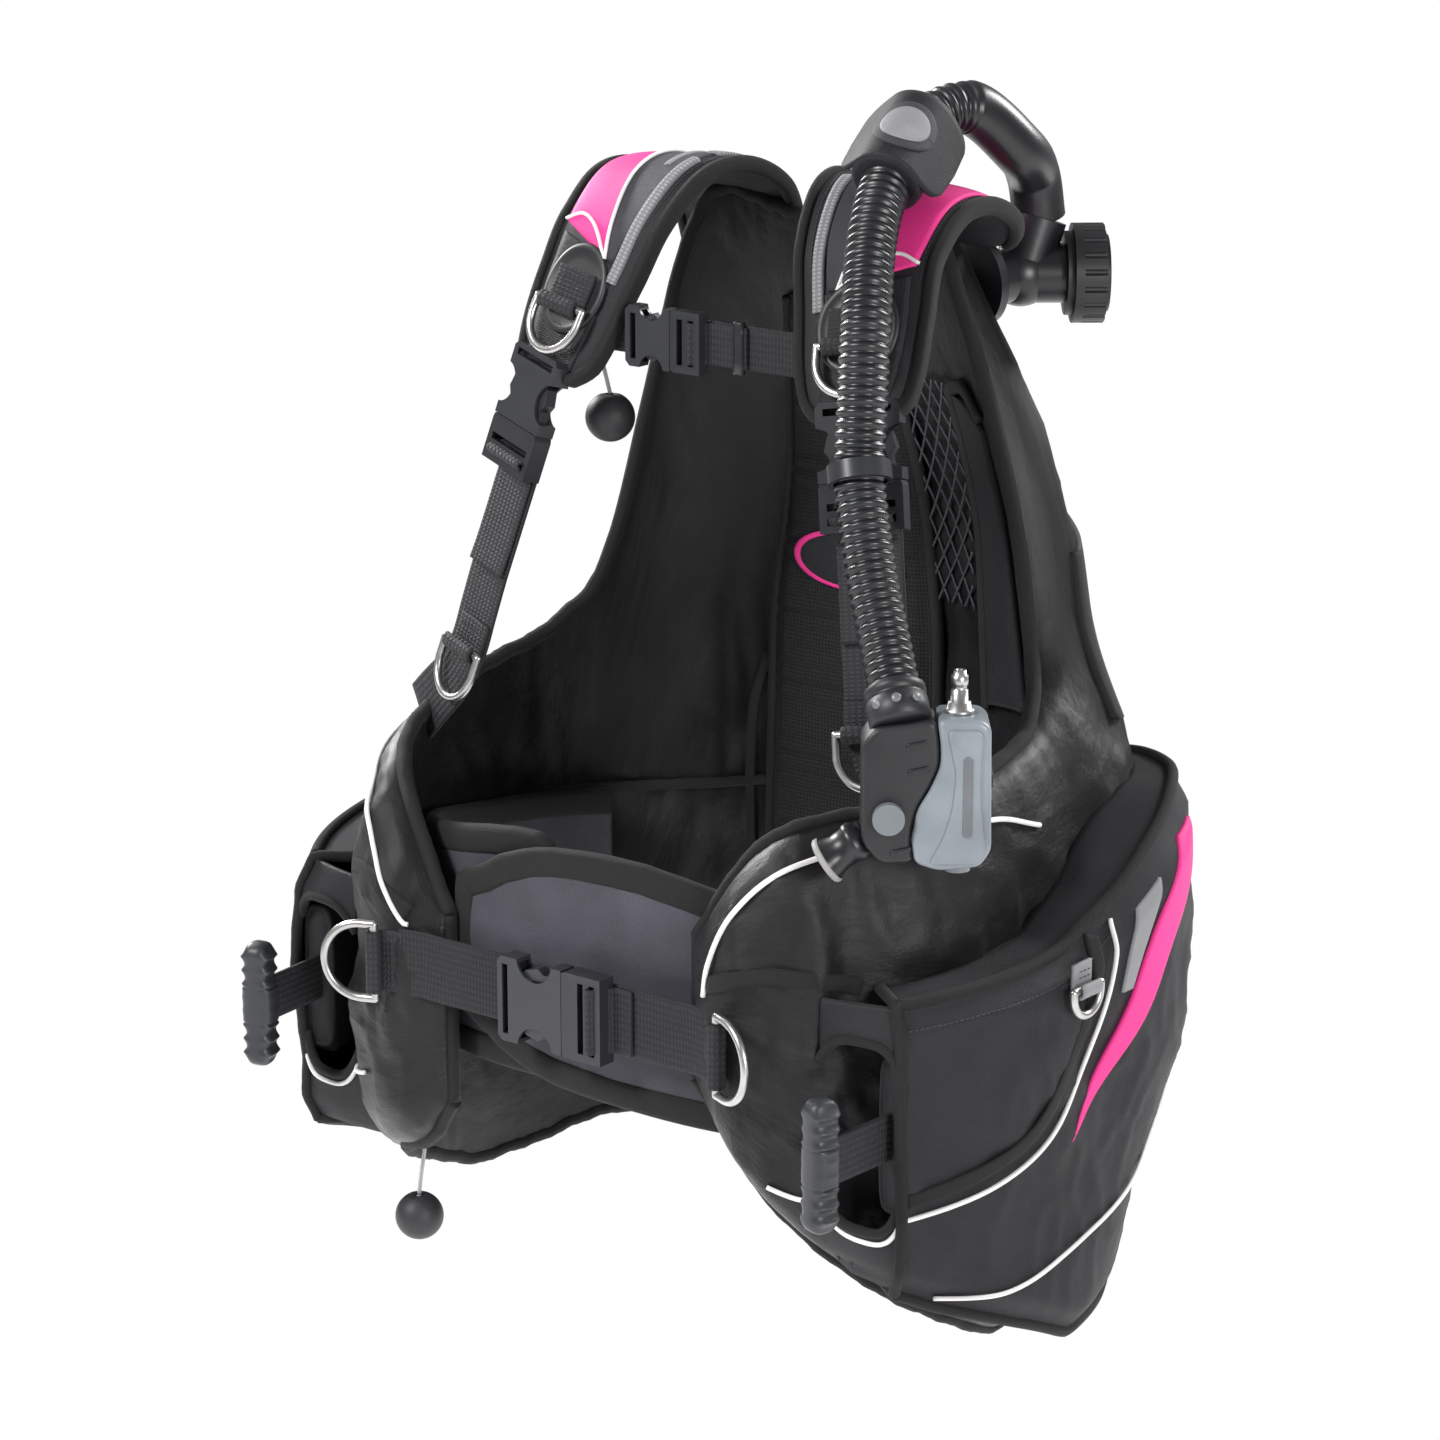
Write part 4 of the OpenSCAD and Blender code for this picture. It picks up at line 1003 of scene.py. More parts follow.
def decorate_pad(side, name, top):
    """Coloured panels, piping and the silver bar of the shoulder, drawn as (across, length back from the front
    end)."""
    length = PAD_LENGTH[side]

    def back(points):
        return [(w, length - q) for w, q in points]
    pink_edge = back([(10, 200), (9, 165), (3, 125), (-6, 94), (-14, 72)])
    grey_edge = back([(-36, 200), (-33, 165), (-28, 125), (-23, 94), (-20, 72)])
    arm_edge = back([(43, 200), (41, 165), (37, 125), (34, 100), (31, 84)])
    low_edge = back([(33, 85), (20, 91), (4, 86), (-14, 72)])
    patch(name + "_grey_panel", top, grey_edge, pink_edge, "grey_panel", 0.9)
    patch(name + "_pink_panel", top, arm_edge, pink_edge, "pink", 1.4)
    pipe(name + "_piping_side", top, pink_edge, 1.1, lift=1.9)
    pipe(name + "_piping_low", top, low_edge, 1.1, lift=1.9)
    strip(name + "_silver_bar", top, back([(-8, 196), (-11, 165), (-16, 132)]), 5, "light_grey", 1.4, 0.3)
    patch(name + "_webbing_patch", top, back([(-24, 176), (-25, 152)]), back([(-37, 176), (-37, 152)]),
          "pale_webbing", 2.0)
    strip(name + "_neck_web", top, back([(-31, 140), (-28, 104), (-25, 60)]), 7, "pale_webbing", 2.0, 0.4)
    patch(name + "_lower_panel", top, back([(-25, 70), (-23, 40), (-19, 3)]),
          back([(29, 78), (27, 40), (19, 3)]), "panel", 1.2)
    sewn(name + "_seam_neck", top, back([(-38, 250), (-41, 190), (-37, 130), (-31, 80)]))
    sewn(name + "_seam_arm", top, back([(38, 250), (43, 190), (39, 130), (34, 90)]))
    flap = whole_turn(40)
    steps = ((1, 0.5), (1, 2.6), (0.96, 3.4), (0.86, 3.6), (0.83, 2.9), (0.6, 3.1), (0.05, 3.2))
    rings = [top(r * 25 * np.cos(flap), length - 50 + r * 27 * np.sin(flap), lift) for r, lift in steps]
    lofted(name + "_round_flap", rings, "moulded")


WEB_T = 2.4
SHOULDER_WEB, BELT_WEB, CHEST_WEB = 38, 40, 25
STRAP_MOUTH, STRAP_LEAN, STRAP_FACE = (-121, -29, 492), (-12, 13), -20
CHEST_MOUTH, BELT_MOUTH = (-22, -14, 551), (14, -155, 200)
WEB_GAP, LADDER_T = 0.5, 1.9


def turn_matrix(axis, degrees):
    c, s = math.cos(math.radians(degrees)), math.sin(math.radians(degrees))
    return np.array({"x": [[1, 0, 0], [0, c, -s], [0, s, c]], "y": [[c, 0, s], [0, 1, 0], [-s, 0, c]],
                     "z": [[c, -s, 0], [s, c, 0], [0, 0, 1]]}[axis])


def set_down(points, turn, at, side=LEFT):
    """Points of a piece's own frame, turned and moved, and mirrored if side is RIGHT."""
    return place_on(side, np.asarray(points, float) @ turn.T + at)


def way_in(place, direction):
    """A direction of a piece's own frame, in the vest's."""
    return place([direction])[0] - place([(0, 0, 0)])[0]


def strap_frame(side):
    """Shoulder buckle's own frame, placed for the wearer's right: Z up the webbing, -Y outwards."""
    turn = turn_matrix("y", STRAP_LEAN[1]) @ turn_matrix("x", STRAP_LEAN[0]) @ turn_matrix("z", STRAP_FACE)
    return lambda points: set_down(points, turn, STRAP_MOUTH, -side)


def lying(mouth):
    """Chest or belt buckle's frame: its Z runs towards the wearer's right."""
    return lambda points: set_down(points, turn_matrix("y", -90), mouth)


def buckle_foot(width):
    """How far a clip's foot lies below its buckle's mouth."""
    return 0.45 * width + 10


def ladder_web(name, place, across, width, half, rear, front, tail, body):
    """The free web round a clip's ladder bars. Depths are from the webbing behind the buckle, or for front
    from the buckle's middle; heights are from the clip's foot."""
    y, foot = behind(width), buckle_foot(width)
    bow = [(0, y + d, h - foot) for d, h in rear] + [(0, d, h - foot) for d, h in front]
    bow += [(0, y + d, h - foot) for d, h in tail]
    strap(name, place(spline(bow, 6)), across, half, LADDER_T, body=body)


def behind(width):
    """Depth of the webbing's middle behind the buckle that is made for it."""
    return (0.22 * width + 3) / 2 + WEB_GAP + WEB_T / 2


def straight(start, end, n=12):
    return np.linspace(np.array(start, float), np.array(end, float), n)


LOBE_ROUTE = [(-139, -41.3, 402.5), (-143.5, -45, 382), (-148, -49, 361), (-157, -51, 343), (-171, -50, 329),
              (-188, -47, 313)]
LOBE_ACROSS = (0.93, -0.33, -0.14)
STRAP_RUN = 92


def make_shoulder_strap(side):
    name = f"{side_name(side)}_shoulder_strap"
    place = strap_frame(side)
    y, half = behind(SHOULDER_WEB), SHOULDER_WEB / 2
    across = way_in(place, (1, 0, 0))
    upper = place(straight((0, y, -8), (0, y, -STRAP_RUN), 24))
    line = np.vstack([upper[:-1], place_on(-side, spline(LOBE_ROUTE, 6))[1:]])
    ways = np.linspace(across, place_on(-side, LOBE_ACROSS), 12)
    # the webbing turns from the buckle's way to the lobe's over a dozen points
    turning = np.vstack([np.repeat(ways[:1], len(upper) - 7, 0), ways,
                         np.repeat(ways[-1:], len(line) - len(upper) - 5, 0)])[:len(line)]
    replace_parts(strap(name + "_lower_web", line, turning, half, WEB_T), name)
    length = 0.95 * SHOULDER_WEB + 8
    upper = place(straight((0, y, length - 12), (0, y, length + 6), 8))
    strap(name + "_upper_web", upper, across, half, WEB_T)
    ladder_web(name + "_ladder_web", place, across, SHOULDER_WEB, half - 0.8, [(0, 26), (-1, 15)],
               [(-3.4, 10), (-7.2, 8), (-7.2, 6), (-3.4, 3.5)],
               [(-3.5, -1), (-2.7, -14), (-2.7, -44), (-3.4, -60)], f"{side_name(side)}_shoulder_clip")
    for z in (-STRAP_RUN + 6, -STRAP_RUN + 18):
        row = place(straight((-half + 4, y - WEB_T / 2, z), (half - 4, y - WEB_T / 2, z)))
        stitches(f"{name}_row_{int(-z)}", row, way_in(place, (0, -1, 0)))


def make_chest_strap():
    place, y, across, half = lying(CHEST_MOUTH), behind(CHEST_WEB), (0, 0, 1), CHEST_WEB / 2
    for side, start, end, steps in ((RIGHT, 22, 52, 16), (LEFT, -6, -107, 30)):
        name = f"chest_strap_{side_name(side)}"
        web = strap(name + "_web", place(straight((0, y, start), (0, y, end), steps)), across, half, WEB_T)
        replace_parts(web, name)
    ladder_web("chest_ladder_web", place, across, CHEST_WEB, half - 0.6, [(0, 20), (-1, 13)],
               [(-2.6, 9), (-5.2, 7.5), (-5.2, 6), (-2.6, 3.5)], [(-3, -1), (-2.6, -12), (-2.6, -28)],
               "chest_clip")
    foot = buckle_foot(CHEST_WEB)
    strap("chest_strap_slider", place(straight((0, y - 3.2, -foot - 20), (0, y - 3.2, -foot - 26), 4)), across,
          half + 2.5, 4, "buckle", body="chest_clip")


BELT_ROUTE = [(-70, -147.4, 200), (-84, -147.8, 200), (-98, -149.5, 201), (-113, -153, 201)]


def make_belt():
    place, y, across, half = lying(BELT_MOUTH), behind(BELT_WEB), (0, 0, 1), BELT_WEB / 2
    for side, start, end in ((RIGHT, 36, 84), (LEFT, -8, -56)):
        name = f"{side_name(side)}_belt"
        run = place(straight((0, y, start), (0, y, end), 16))
        line = np.vstack([run[:-1], place_on(-side, spline(BELT_ROUTE, 6))])
        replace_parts(strap(name + "_web", line, across, half, WEB_T), name)
    ladder_web("belt_ladder_web", place, across, BELT_WEB, half - 0.8, [(0, 28), (-1, 16)],
               [(-3.6, 10), (-7.6, 8), (-7.6, 6), (-3.6, 3.5)], [(-3.5, -1), (-2.8, -8), (-2.8, -14)],
               "belt_clip")


# Each right ring's place, its turns about x, y and z, its inner width and the length of its tab
RINGS = {"shoulder_ring": ((-102, -17.5, 563), (-23, 8, -10), 34, 20),
         "strap_ring": ((-147, -56.5, 361), (-16, 8, -20), 34, 16),
         "belt_ring": ((-124, -162, 201), (0, 90, 22), 40, 18),
         "pocket_ring": ((-262, -12, 228), (0, 0, -88), 20, 12)}
WIRE_R, RING_GAP = 2.4, 0.45


def ring_frame(side, at, turns):
    turn = turn_matrix("z", turns[2]) @ turn_matrix("y", turns[1]) @ turn_matrix("x", turns[0])
    return lambda points: set_down(points, turn, at, -side)


def make_ring_tabs():
    """Webbing that wraps each ring's bar and is sewn down with a box of stitches."""
    tabs = []
    mid = WIRE_R + RING_GAP + WEB_T / 2
    wrap = [(0, mid * math.sin(t), -mid * math.cos(t)) for t in np.radians(np.linspace(90, -150, 26))]
    for side in (LEFT, RIGHT):
        for ring, (at, turns, ring_w, tail) in RINGS.items():
            name, place = f"{side_name(side)}_{ring}", ring_frame(side, at, turns)
            half = (ring_w - 3) / 2
            line = spline([(0, mid, tail + 2), (0, mid, tail * 0.5), (0, mid, 1)], 4)
            line = even(np.vstack([line, wrap[1:]]), 1.2)
            mat = "light_grey" if ring == "pocket_ring" else "webbing"
            tabs.append(strap(name + "_tab", place(line), way_in(place, (1, 0, 0)), half, WEB_T, mat))
            for z in (5.5, tail - 3):
                row = straight((-half + 3, mid - WEB_T / 2, z), (half - 3, mid - WEB_T / 2, z))
                stitches(f"{name}_row_{int(z)}", place(row), way_in(place, (0, -1, 0)))
    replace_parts(tabs[0], "ring_tabs")


# ---- hose

HOSE_ROUTE = [(107, 158, 612), (107, 151, 637), (114, 125, 655), (101, 94, 680), (91, 60, 671),
              (97, 24, 647), (110, -8, 620), (127, -36, 584), (136, -51, 543), (142, -61, 505),
              (151, -69, 482), (164, -79, 454), (181, -91, 426), (196, -103, 405)]
HOSE_R = 14
RIB_PITCH, RIB_H = 5.7, 2.1
SLEEVE_END, WRAP_AT = 3, 4  # points of the route


def make_hose():
    """The corrugated hose with its smooth sleeve, as one cord from the elbow to the inflator."""
    line = even(spline(HOSE_ROUTE, 16), 0.95)
    run = run_of(line)
    knots = run_of(HOSE_ROUTE)
    sleeve = knots[SLEEVE_END] * run[-1] / knots[-1]
    ribbed = HOSE_R - RIB_H + RIB_H * (0.5 - 0.5 * np.cos(2 * np.pi * run / RIB_PITCH)) ** 0.6
    mix = smooth((run - sleeve) / 6)
    radius = (HOSE_R + 1.2) * (1 - mix) + ribbed * mix
    hose = round_tube("corrugated_hose", line, radius, "hose", 36, body=None)
    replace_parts(hose, "hose_upper", "hose_lower")
    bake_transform(hose)
    return hose, line, run[-1]


def turned_about(start, direction, points):
    """Points of a piece modelled along +Z, set down at start with +Z along direction."""
    direction = np.asarray(direction, float) / np.linalg.norm(direction)
    theta = math.degrees(math.acos(direction[2]))
    phi = math.degrees(math.atan2(direction[1], direction[0]))
    return set_down(points, turn_matrix("z", phi) @ turn_matrix("y", theta), start)


def turned(name, start, direction, profile, mat, sides=48, body="vest"):
    """Lathed piece: profile is (height, radius) along direction from start."""
    turn = whole_turn(sides)
    rings = [np.stack([r * np.cos(turn), r * np.sin(turn), h + 0 * turn], -1) for h, r in profile]
    return lofted(name, turned_about(start, direction, rings), mat, body=body)


def wrap_tongue(middle, way, across, face):
    """Wide cloth tongue bent over the hose, with rounded ends."""
    radius, bend, reach, half = 20.6, 0.95, 43, 27
    run = np.linspace(-1, 1, 61)[:, None]
    wide = half * (1 - np.abs(run) ** 5) ** 0.25 * np.linspace(-1, 1, 17)[None, :]
    run = run * reach + 0 * wide

    def sheet_at(r):
        angle = np.clip(run / radius, -bend, bend)
        past = run - radius * angle
        x = r * np.sin(angle) + past * np.cos(angle)
        y = r * np.cos(angle) - np.abs(past) * math.sin(bend)
        return middle + wide[..., None] * way + x[..., None] * across + y[..., None] * face
    slab("hose_wrap_tongue", sheet_at(radius), sheet_at(radius - 2.6), "panel")


def make_hose_wrap():
    """Neoprene wrap that holds the hose to the left shoulder, with a blank oval."""
    route = np.array(HOSE_ROUTE, float)
    middle = (route[WRAP_AT] + route[WRAP_AT + 1]) / 2 + [0, 1, 2]
    way = unit(route[WRAP_AT] - route[WRAP_AT + 1])
    profile = [(-27, 16), (-27.6, 18), (-26.6, 20), (-23, 20.6), (-12, 19.6), (0, 19.8), (12, 19.6),
               (23, 20.6), (26.6, 20), (27.6, 18), (27, 16)]
    wrap = turned("hose_wrap_sleeve", middle, way, profile, "panel")
    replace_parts(wrap, "hose_wrap")
    u = unit(np.cross(way, (0.4, -0.8, 0.45)))
    face = unit(np.cross(u, way))
    face *= -np.sign(face[1])
    wrap_tongue(middle, way, u, face)
    turn = whole_turn(40)

    def oval(grow, lift):
        angle = grow * 0.95 * np.cos(turn)
        around = np.cos(angle)[:, None] * face + np.sin(angle)[:, None] * u
        return middle + grow * 17 * np.sin(turn)[:, None] * way + (20.8 + lift) * around
    for name, mat, steps in (
            ("oval", "grey_panel", [(1, -0.8), (1, 0.5), (0.94, 0.9), (0.5, 1.0), (0.03, 1.0)]),
            ("badge", "light_grey", [(0.72, 0.3), (0.72, 1.3), (0.66, 1.6), (0.3, 1.7), (0.02, 1.7)])):
        lofted("hose_wrap_" + name, [oval(*step) for step in steps], mat)


# ---- weights

POUCH_MOUTH, POUCH_TURN = (208, -121, 162), -15.6
POUCH_L, POUCH_H, POUCH_T = 118, 100, 19
GRIP_LEAN, GRIP_REACH, GRIP_HALF, GRIP_PITCH = 10, 53, 38, 8.4


def in_pouch_frame(side, points):
    return set_down(points, turn_matrix("z", POUCH_TURN), POUCH_MOUTH, side)


def make_weights(side):
    name = side_name(side)
    body = f"{name}_weights"
    x, z = superellipse(56, 4.5, POUCH_T / 2, POUCH_H / 2).T
    rings = []
    for y in np.linspace(2, POUCH_L, 44):
        grow = 1 - 0.16 * (1 - min(min(y - 2, POUCH_L - y) / 9, 1)) ** 2
        swell = min(1.0, 0.9 + 0.1 * (1 + 0.06 * math.sin(y / 9.5)))
        rings.append(np.stack([x * grow * swell, y + 0 * x, z * grow], 1))
    pouch = lofted(name + "_weight_pouch_cloth", in_pouch_frame(side, rings), "panel", body=body)
    stuff(pouch, name + "_weight_pouch")
    seam = in_pouch_frame(side, np.stack([x * 0.86, 3.2 + 0 * x, z * 0.86], 1))
    round_tube(name + "_pouch_binding", np.vstack([seam, seam[:1]]), 1.9, "tape", 8, body=body)
    run = in_pouch_frame(side, straight((-1, 6, 0), (GRIP_LEAN, -GRIP_REACH + 4, 0), 16))
    strap(name + "_grip_web", run, (0, 0, 1), 13.5, 3, body=body)
    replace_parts(make_grip(side, name), name + "_weight_handle")


def make_grip(side, name):
    """Ribbed rubber T-grip: the bar lies upright, across the web."""
    rings = []
    for z in np.linspace(-GRIP_HALF, GRIP_HALF, 150):
        end = min((GRIP_HALF - abs(z)) / 7, 1)
        round_end = math.sqrt(max(0.05, 1 - (1 - end) ** 2))
        dip = (0.5 + 0.5 * math.cos(2 * math.pi * z / GRIP_PITCH)) ** 0.5
        rib = 1 - 0.26 * dip * (1 if abs(z) > 10 else 0.15)
        waist = 1 + 0.12 * (z / GRIP_HALF) ** 2 - 0.08
        ring = superellipse(28, 3.2, 10 * rib * round_end, 9 * waist * round_end)
        rings.append(np.stack([ring[:, 0] + GRIP_LEAN, ring[:, 1] - GRIP_REACH, np.full(28, z)], 1))
    return lofted(name + "_t_grip", in_pouch_frame(side, rings), "grip", body=f"{name}_weights")


# ---- back: band, handle

PLATE_REAR, BAND_PAD_HALF_W, BAND_PAD_HALF_H = 184, 48, 22
BAND_Y, BAND_END, BAND_R, BAND_Z, BAND_W = 215, 50, 28, 330, 50


def make_tank_band():
    radius = BAND_R - WEB_T / 2
    left_end = [(BAND_END + radius * math.cos(t), BAND_Y + radius * math.sin(t), BAND_Z)
                for t in np.radians(np.linspace(-90, 90, 30))]
    right_end = [(-x, 2 * BAND_Y - y, z) for x, y, z in left_end]
    loop = left_end + right_end + left_end[:1]
    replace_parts(strap("tank_band_webbing", even(loop, 4), (0, 0, 1), BAND_W / 2, WEB_T), "tank_band")
    x = np.linspace(-BAND_PAD_HALF_W, BAND_PAD_HALF_W, 60)[:, None]
    z = np.linspace(BAND_Z - BAND_PAD_HALF_H, BAND_Z + BAND_PAD_HALF_H, 30)[None, :]
    ribs = np.abs(np.sin(x / 2.2))
    outer, inner = (np.stack(together(x, PLATE_REAR + 2 + lift + rib * ribs, z), -1)
                    for lift, rib in ((3.8, 0.6), (3.4, 0.0)))
    slab("tank_band_grip", outer, inner, "ball")


HANDLE_ROUTE = [(-64, 148, 530), (-62, 164, 534), (-50, 182, 540), (0, 190, 544), (50, 182, 540),
                (62, 164, 534), (64, 148, 530)]


def make_carry_handle():
    line = spline(HANDLE_ROUTE, 10)
    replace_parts(strap("carry_handle_webbing", line, (0, 0, 1), 14, 3.2), "carry_handle")
    held = line[np.abs(line[:, 0]) < 46]
    up = np.array([0, 0, 1.0])
    out = unit(np.cross(tangents(held), up))
    section = superellipse(28, 3, 1, 1)
    count = np.arange(len(held))
    ends = np.clip(np.minimum(count, count[::-1]) / 3, 0, 1)[:, None, None] ** 0.5
    rings = (held[:, None] + section[None, :, :1] * 3.9 * (0.6 + 0.4 * ends) * out[:, None]
             + section[None, :, 1:] * 14.6 * (0.85 + 0.15 * ends) * up)
    lofted("carry_handle_sleeve", rings, "grip")


# ---- pull dumps

SHOULDER_CORD = [(-92, 2, 546), (-92, 3, 538), (-91.5, 6, 530), (-91, 9, 520), (-90, 12, 508)]
SHOULDER_BALL = (-90, 12, 494)
HEM_CORD = [(-146, -98, 76), (-146, -98, 66), (-147, -98.5, 56), (-148.5, -99.5, 44), (-150, -100, 32)]
HEM_BALL = (-150, -100, 18)
BALL_R, BALL_MOUTH = 14.5, 13.2
CORD_D = 2.5


def make_pull(label, cord_route, ball_at, body):
    line = even(spline(cord_route, 6), 0.8)
    run = run_of(line)
    radius = CORD_D / 2 * (1 - 0.07 * np.abs(np.sin(run / 0.9)))
    cord = round_tube(f"{label}_pull_braid", line, radius, "cord", 12, body=body)
    profile = [(-BALL_R * math.cos(t), max(BALL_R * math.sin(t), 0.05)) for t in np.linspace(0, np.pi, 40)]
    profile = [p for p in profile if p[0] < BALL_MOUTH] + [(13.6, 3.4), (12.5, 2.3), (10.4, 2.2), (10.2, 0.05)]
    ball = turned(f"{label}_pull_sphere", ball_at, (0, 0, 1), profile, "ball", 64, body)
    knot = turned(f"{label}_pull_knot", np.array(ball_at) + [0, 0, 9.6], (0, 0, 1),
                  [(0, 0.3), (0.3, 1.6), (1.6, 2.1), (2.9, 1.6), (3.4, 0.3)], "cord", 16, body)
    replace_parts(cord, f"{label}_pull_cord")
    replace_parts(ball, f"{label}_pull_ball")


# ---- inflator

INFLATOR_AT, INFLATOR_TURN = (214, -102, 352), 38
SPLIT_LINE = [(-4, -35), (-6, -22), (-3, -6), (4, 6), (9, 18), (9, 28), (7, 43)]
CASING_T = 30


def in_inflator_frame(points):
    """Inflator's own frame: X towards the plate, -Y out of its face."""
    return set_down(points, turn_matrix("z", INFLATOR_TURN), INFLATOR_AT)


def closed_outline(corners, radius, step=1.2):
    """Outline in (x, z) with its corners rounded by that many millimetres."""
    p = np.array(corners, float)
    out = []
    for a, b, c in zip(np.roll(p, 1, 0), p, np.roll(p, -1, 0)):
        u, v = a - b, c - b
        r = min(radius, 0.45 * np.linalg.norm(u), 0.45 * np.linalg.norm(v))
        start, end = b + unit(u) * r, b + unit(v) * r
        for t in np.linspace(0, 1, 6):
            out.append((1 - t) ** 2 * start + 2 * t * (1 - t) * b + t**2 * end)
    out = np.array(out + out[:1])
    return even(out, step)[:-1]


def inset(outline, amount):
    t = unit(np.roll(outline, -1, 0) - np.roll(outline, 1, 0))
    inward = np.stack([-t[:, 1], t[:, 0]], 1)
    area = np.sum(outline[:, 0] * np.roll(outline[:, 1], -1) - outline[:, 1] * np.roll(outline[:, 0], -1))
    return outline + inward * amount * (1 if area > 0 else -1)


def rounded_slab(name, corners, front, back, edge, mat, corner=4.0):
    """Slab across the inflator's face between two depths, with rounded corners and edges."""
    outline = closed_outline(corners, corner)
    turn = np.linspace(0, np.pi / 2, 6)
    profile = [(edge * (1 - math.sin(t)), front + edge * (1 - math.cos(t))) for t in turn]
    profile += [(edge * (1 - math.cos(t)), back - edge * (1 - math.sin(t))) for t in turn]
    rings = []
    for amount, y in profile:
        q = inset(outline, amount)
        rings.append(np.stack([q[:, 0], np.full(len(q), y), q[:, 1]], 1))
    return lofted(name, in_inflator_frame(rings), mat, body="inflator")


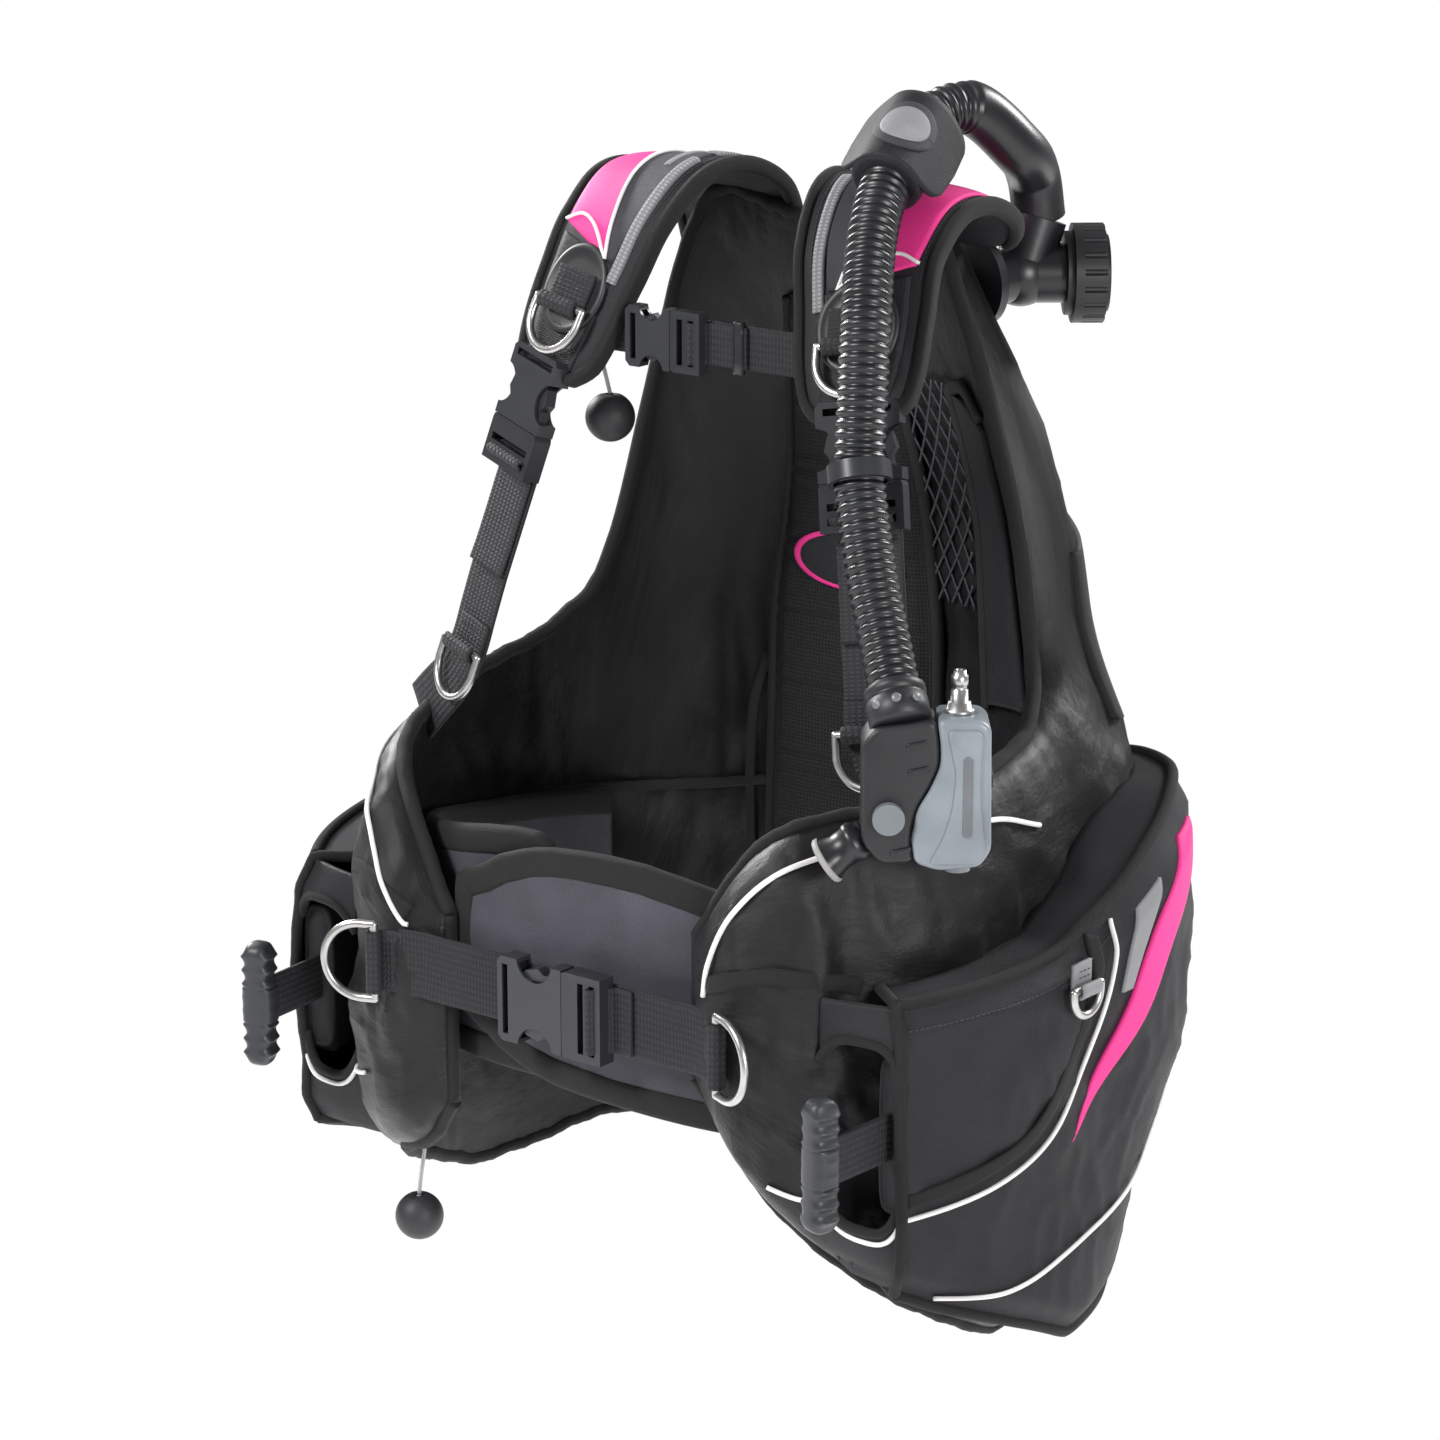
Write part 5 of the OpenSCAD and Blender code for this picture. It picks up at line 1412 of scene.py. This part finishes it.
def make_inflator():
    """The inflator's pieces, as a list."""
    half = CASING_T / 2
    casing = rounded_slab("inflator_casing", [(x - 0.4, z) for x, z in SPLIT_LINE]
                          + [(-26, 38), (-32, 30), (-32, -24), (-22, -36)], -half, half, 3.2, "moulded", 5)
    cover = rounded_slab("inflator_cover", SPLIT_LINE + [(30, 43), (35, 39), (36, -28), (30, -37), (8, -39)],
                         -half - 2, half + 2, 3.0, "plate", 4)
    raised = [(12, 38), (17, 14), (15, -6), (10, -22), (3, -35), (29, -35), (33, -26), (30, 0), (30, 20),
              (31, 38)]
    slot = [(20.5, 24), (25.5, 24), (25.5, -20), (20.5, -20)]
    pieces = [casing, cover,
              rounded_slab("inflator_cover_raised", raised, -half - 3.4, -half + 2, 1.1, "plate", 4),
              rounded_slab("inflator_blank_slot", slot, -half - 4.0, -half + 1, 0.5, "button", 2.4)]
    for k, z in enumerate((8, -6)):
        corners = [(34.2, z + 4), (36.9, z + 4), (36.9, z - 4), (34.2, z - 4)]
        pieces.append(rounded_slab(f"inflator_side_slot_{k}", corners, -8, 8, 0.4, "moulded", 0.8))
    for k, (x, z) in enumerate(((-2, 30), (-1, 16), (-10, -28))):
        corners = [(x - 7, z), (x + 4, z + 2.5), (x + 4, z - 0.5), (x - 7, z - 3)]
        pieces.append(rounded_slab(f"inflator_rib_{k}", corners, -half - 0.9, -half + 2, 0.6, "hose", 1.2))
    before, end = np.array(HOSE_ROUTE[-2:], float)
    way = unit(end - before)
    pieces.append(turned("inflator_collar", end + 0.3 * way, way,
                         [(0, 13), (0, 15.6), (0.8, 16.5), (5, 16.5), (5.6, 15.7), (7.4, 15.7), (8, 16.5),
                          (21, 16.5), (22, 15)], "moulded", 56, "inflator"))
    u, v = steady_frames(np.array([end, end + way * 10]))
    for k in range(3):
        angle = math.radians(40 * k - 90)
        out = math.cos(angle) * u[0] + math.sin(angle) * v[0]
        pieces.append(turned(f"inflator_collar_stud_{k}", end + 13 * way + 15.4 * out, out,
                             [(0, 2.6), (1.6, 2.6), (2.2, 2.0), (2.3, 0.2)], "button", 20, "inflator"))
    turn = whole_turn(56)

    def lathe(profile):
        """Rings about the mouthpiece's own axis, widened into an oval towards its lip."""
        rings = []
        for h, r in profile:
            k = 1 + 0.12 * smooth((h - 8) / 20)
            rings.append(np.stack([r * np.cos(turn) * (2 - k), r * k * np.sin(turn), h + 0 * turn], -1))
        return in_inflator_frame(set_down(rings, turn_matrix("y", -125), (-26.5, 0, -22)))
    horn = lathe([(4, 9), (8, 10.2), (9, 11.2), (12, 11.2), (13, 10.2), (20, 10.4), (25, 12.2), (27, 13.2),
                  (29, 13.2), (29.4, 11.6), (26, 9), (13, 7.5), (12.6, 0.1)])
    horn = lofted("mouthpiece_rubber", horn, "hose", body="inflator")
    # A pale ring round the mouthpiece's lip: a painted highlight on its rim, not the mouthpiece's own colour
    rim = lathe([(26.4, 13.6), (27.2, 14.4), (28.8, 14.4), (29.8, 13.6), (29.9, 12.4), (28.6, 12.0),
                 (26.6, 12.6)])
    rim = lofted("mouthpiece_highlight_rim", rim, "pale_rubber", caps=False, body="inflator")
    nipple = [(0, 7.6), (0.4, 8), (2.2, 8), (2.6, 6.4), (6, 6), (6, 4.5), (12.4, 4.5), (12.8, 3.7),
              (14.6, 3.7), (15.0, 4.5), (20, 4.5), (20.6, 3.6), (23, 3.3), (23, 1.8), (15, 1.7), (15, 0.1)]
    nipple = turned("inflator_nipple_steel", in_inflator_frame([(19, 0, 43)])[0], (0, 0, 1), nipple, "steel",
                    40, "inflator")
    for piece, node in ((casing, "inflator_body"), (cover, "inflator_plate"), (horn, "mouthpiece"),
                        (nipple, "hose_nipple")):
        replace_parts(piece, node)
    return pieces + [horn, rim, nipple]


# ---- pieces kept from the CAD

KEPT = {
    "backplate": ("moulded", 1.2), "exhaust_cap": ("moulded", 1.2), "hem_dump_valve": ("moulded", 0.8),
    "shoulder_cord_guide": ("moulded", 0.4), "exhaust_elbow": ("hose", 1.0),
    "inflate_button": ("button", 0.8), "deflate_button": ("button", 0.8),
    "cam_buckle_frame": ("buckle", 0.6), "cam_buckle_lever": ("buckle", 0.9), "hose_clip": ("buckle", 0.8),
    "chest_buckle": ("buckle", 0.7), "chest_clip": ("buckle", 0.7),
    "belt_buckle": ("buckle", 1.0), "belt_clip": ("buckle", 1.0),
    **{f"{s}_shoulder_{p}": ("buckle", 1.0) for s in ("left", "right") for p in ("buckle", "clip")},
    **{f"{s}_{ring}": ("steel", 0.0) for s in ("left", "right") for ring in RINGS}}


def finish_kept():
    for node, (mat, radius) in KEPT.items():
        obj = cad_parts[node]
        obj.data.materials.clear()
        obj.data.materials.append(MATERIALS[mat])
        if radius:
            bevel = obj.modifiers.new("rounded", "BEVEL")
            bevel.width, bevel.segments = radius * MM, 3
            bevel.limit_method, bevel.angle_limit = "ANGLE", math.radians(35)
            bevel.harden_normals = False


make_materials()
make_camera()
make_stage()
hose, hose_line, hose_length = make_hose()
for label, route, ball_at in (("shoulder", SHOULDER_CORD, SHOULDER_BALL), ("hem", HEM_CORD, HEM_BALL)):
    make_pull(label, route, ball_at, f"{label}_pull")
make_air_cell()
make_back_pad()
line_back()
trim_back()
for s in (LEFT, RIGHT):
    make_cummerbund(s)
    make_pocket(s)
    make_shoulder_pad(s)
    make_shoulder_strap(s)
    make_weights(s)
make_chest_strap()
make_belt()
make_ring_tabs()
make_hose_wrap()
make_tank_band()
make_carry_handle()
finish_kept()
inflator_pieces = make_inflator() + [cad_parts[n] for n in ("inflate_button", "deflate_button")]
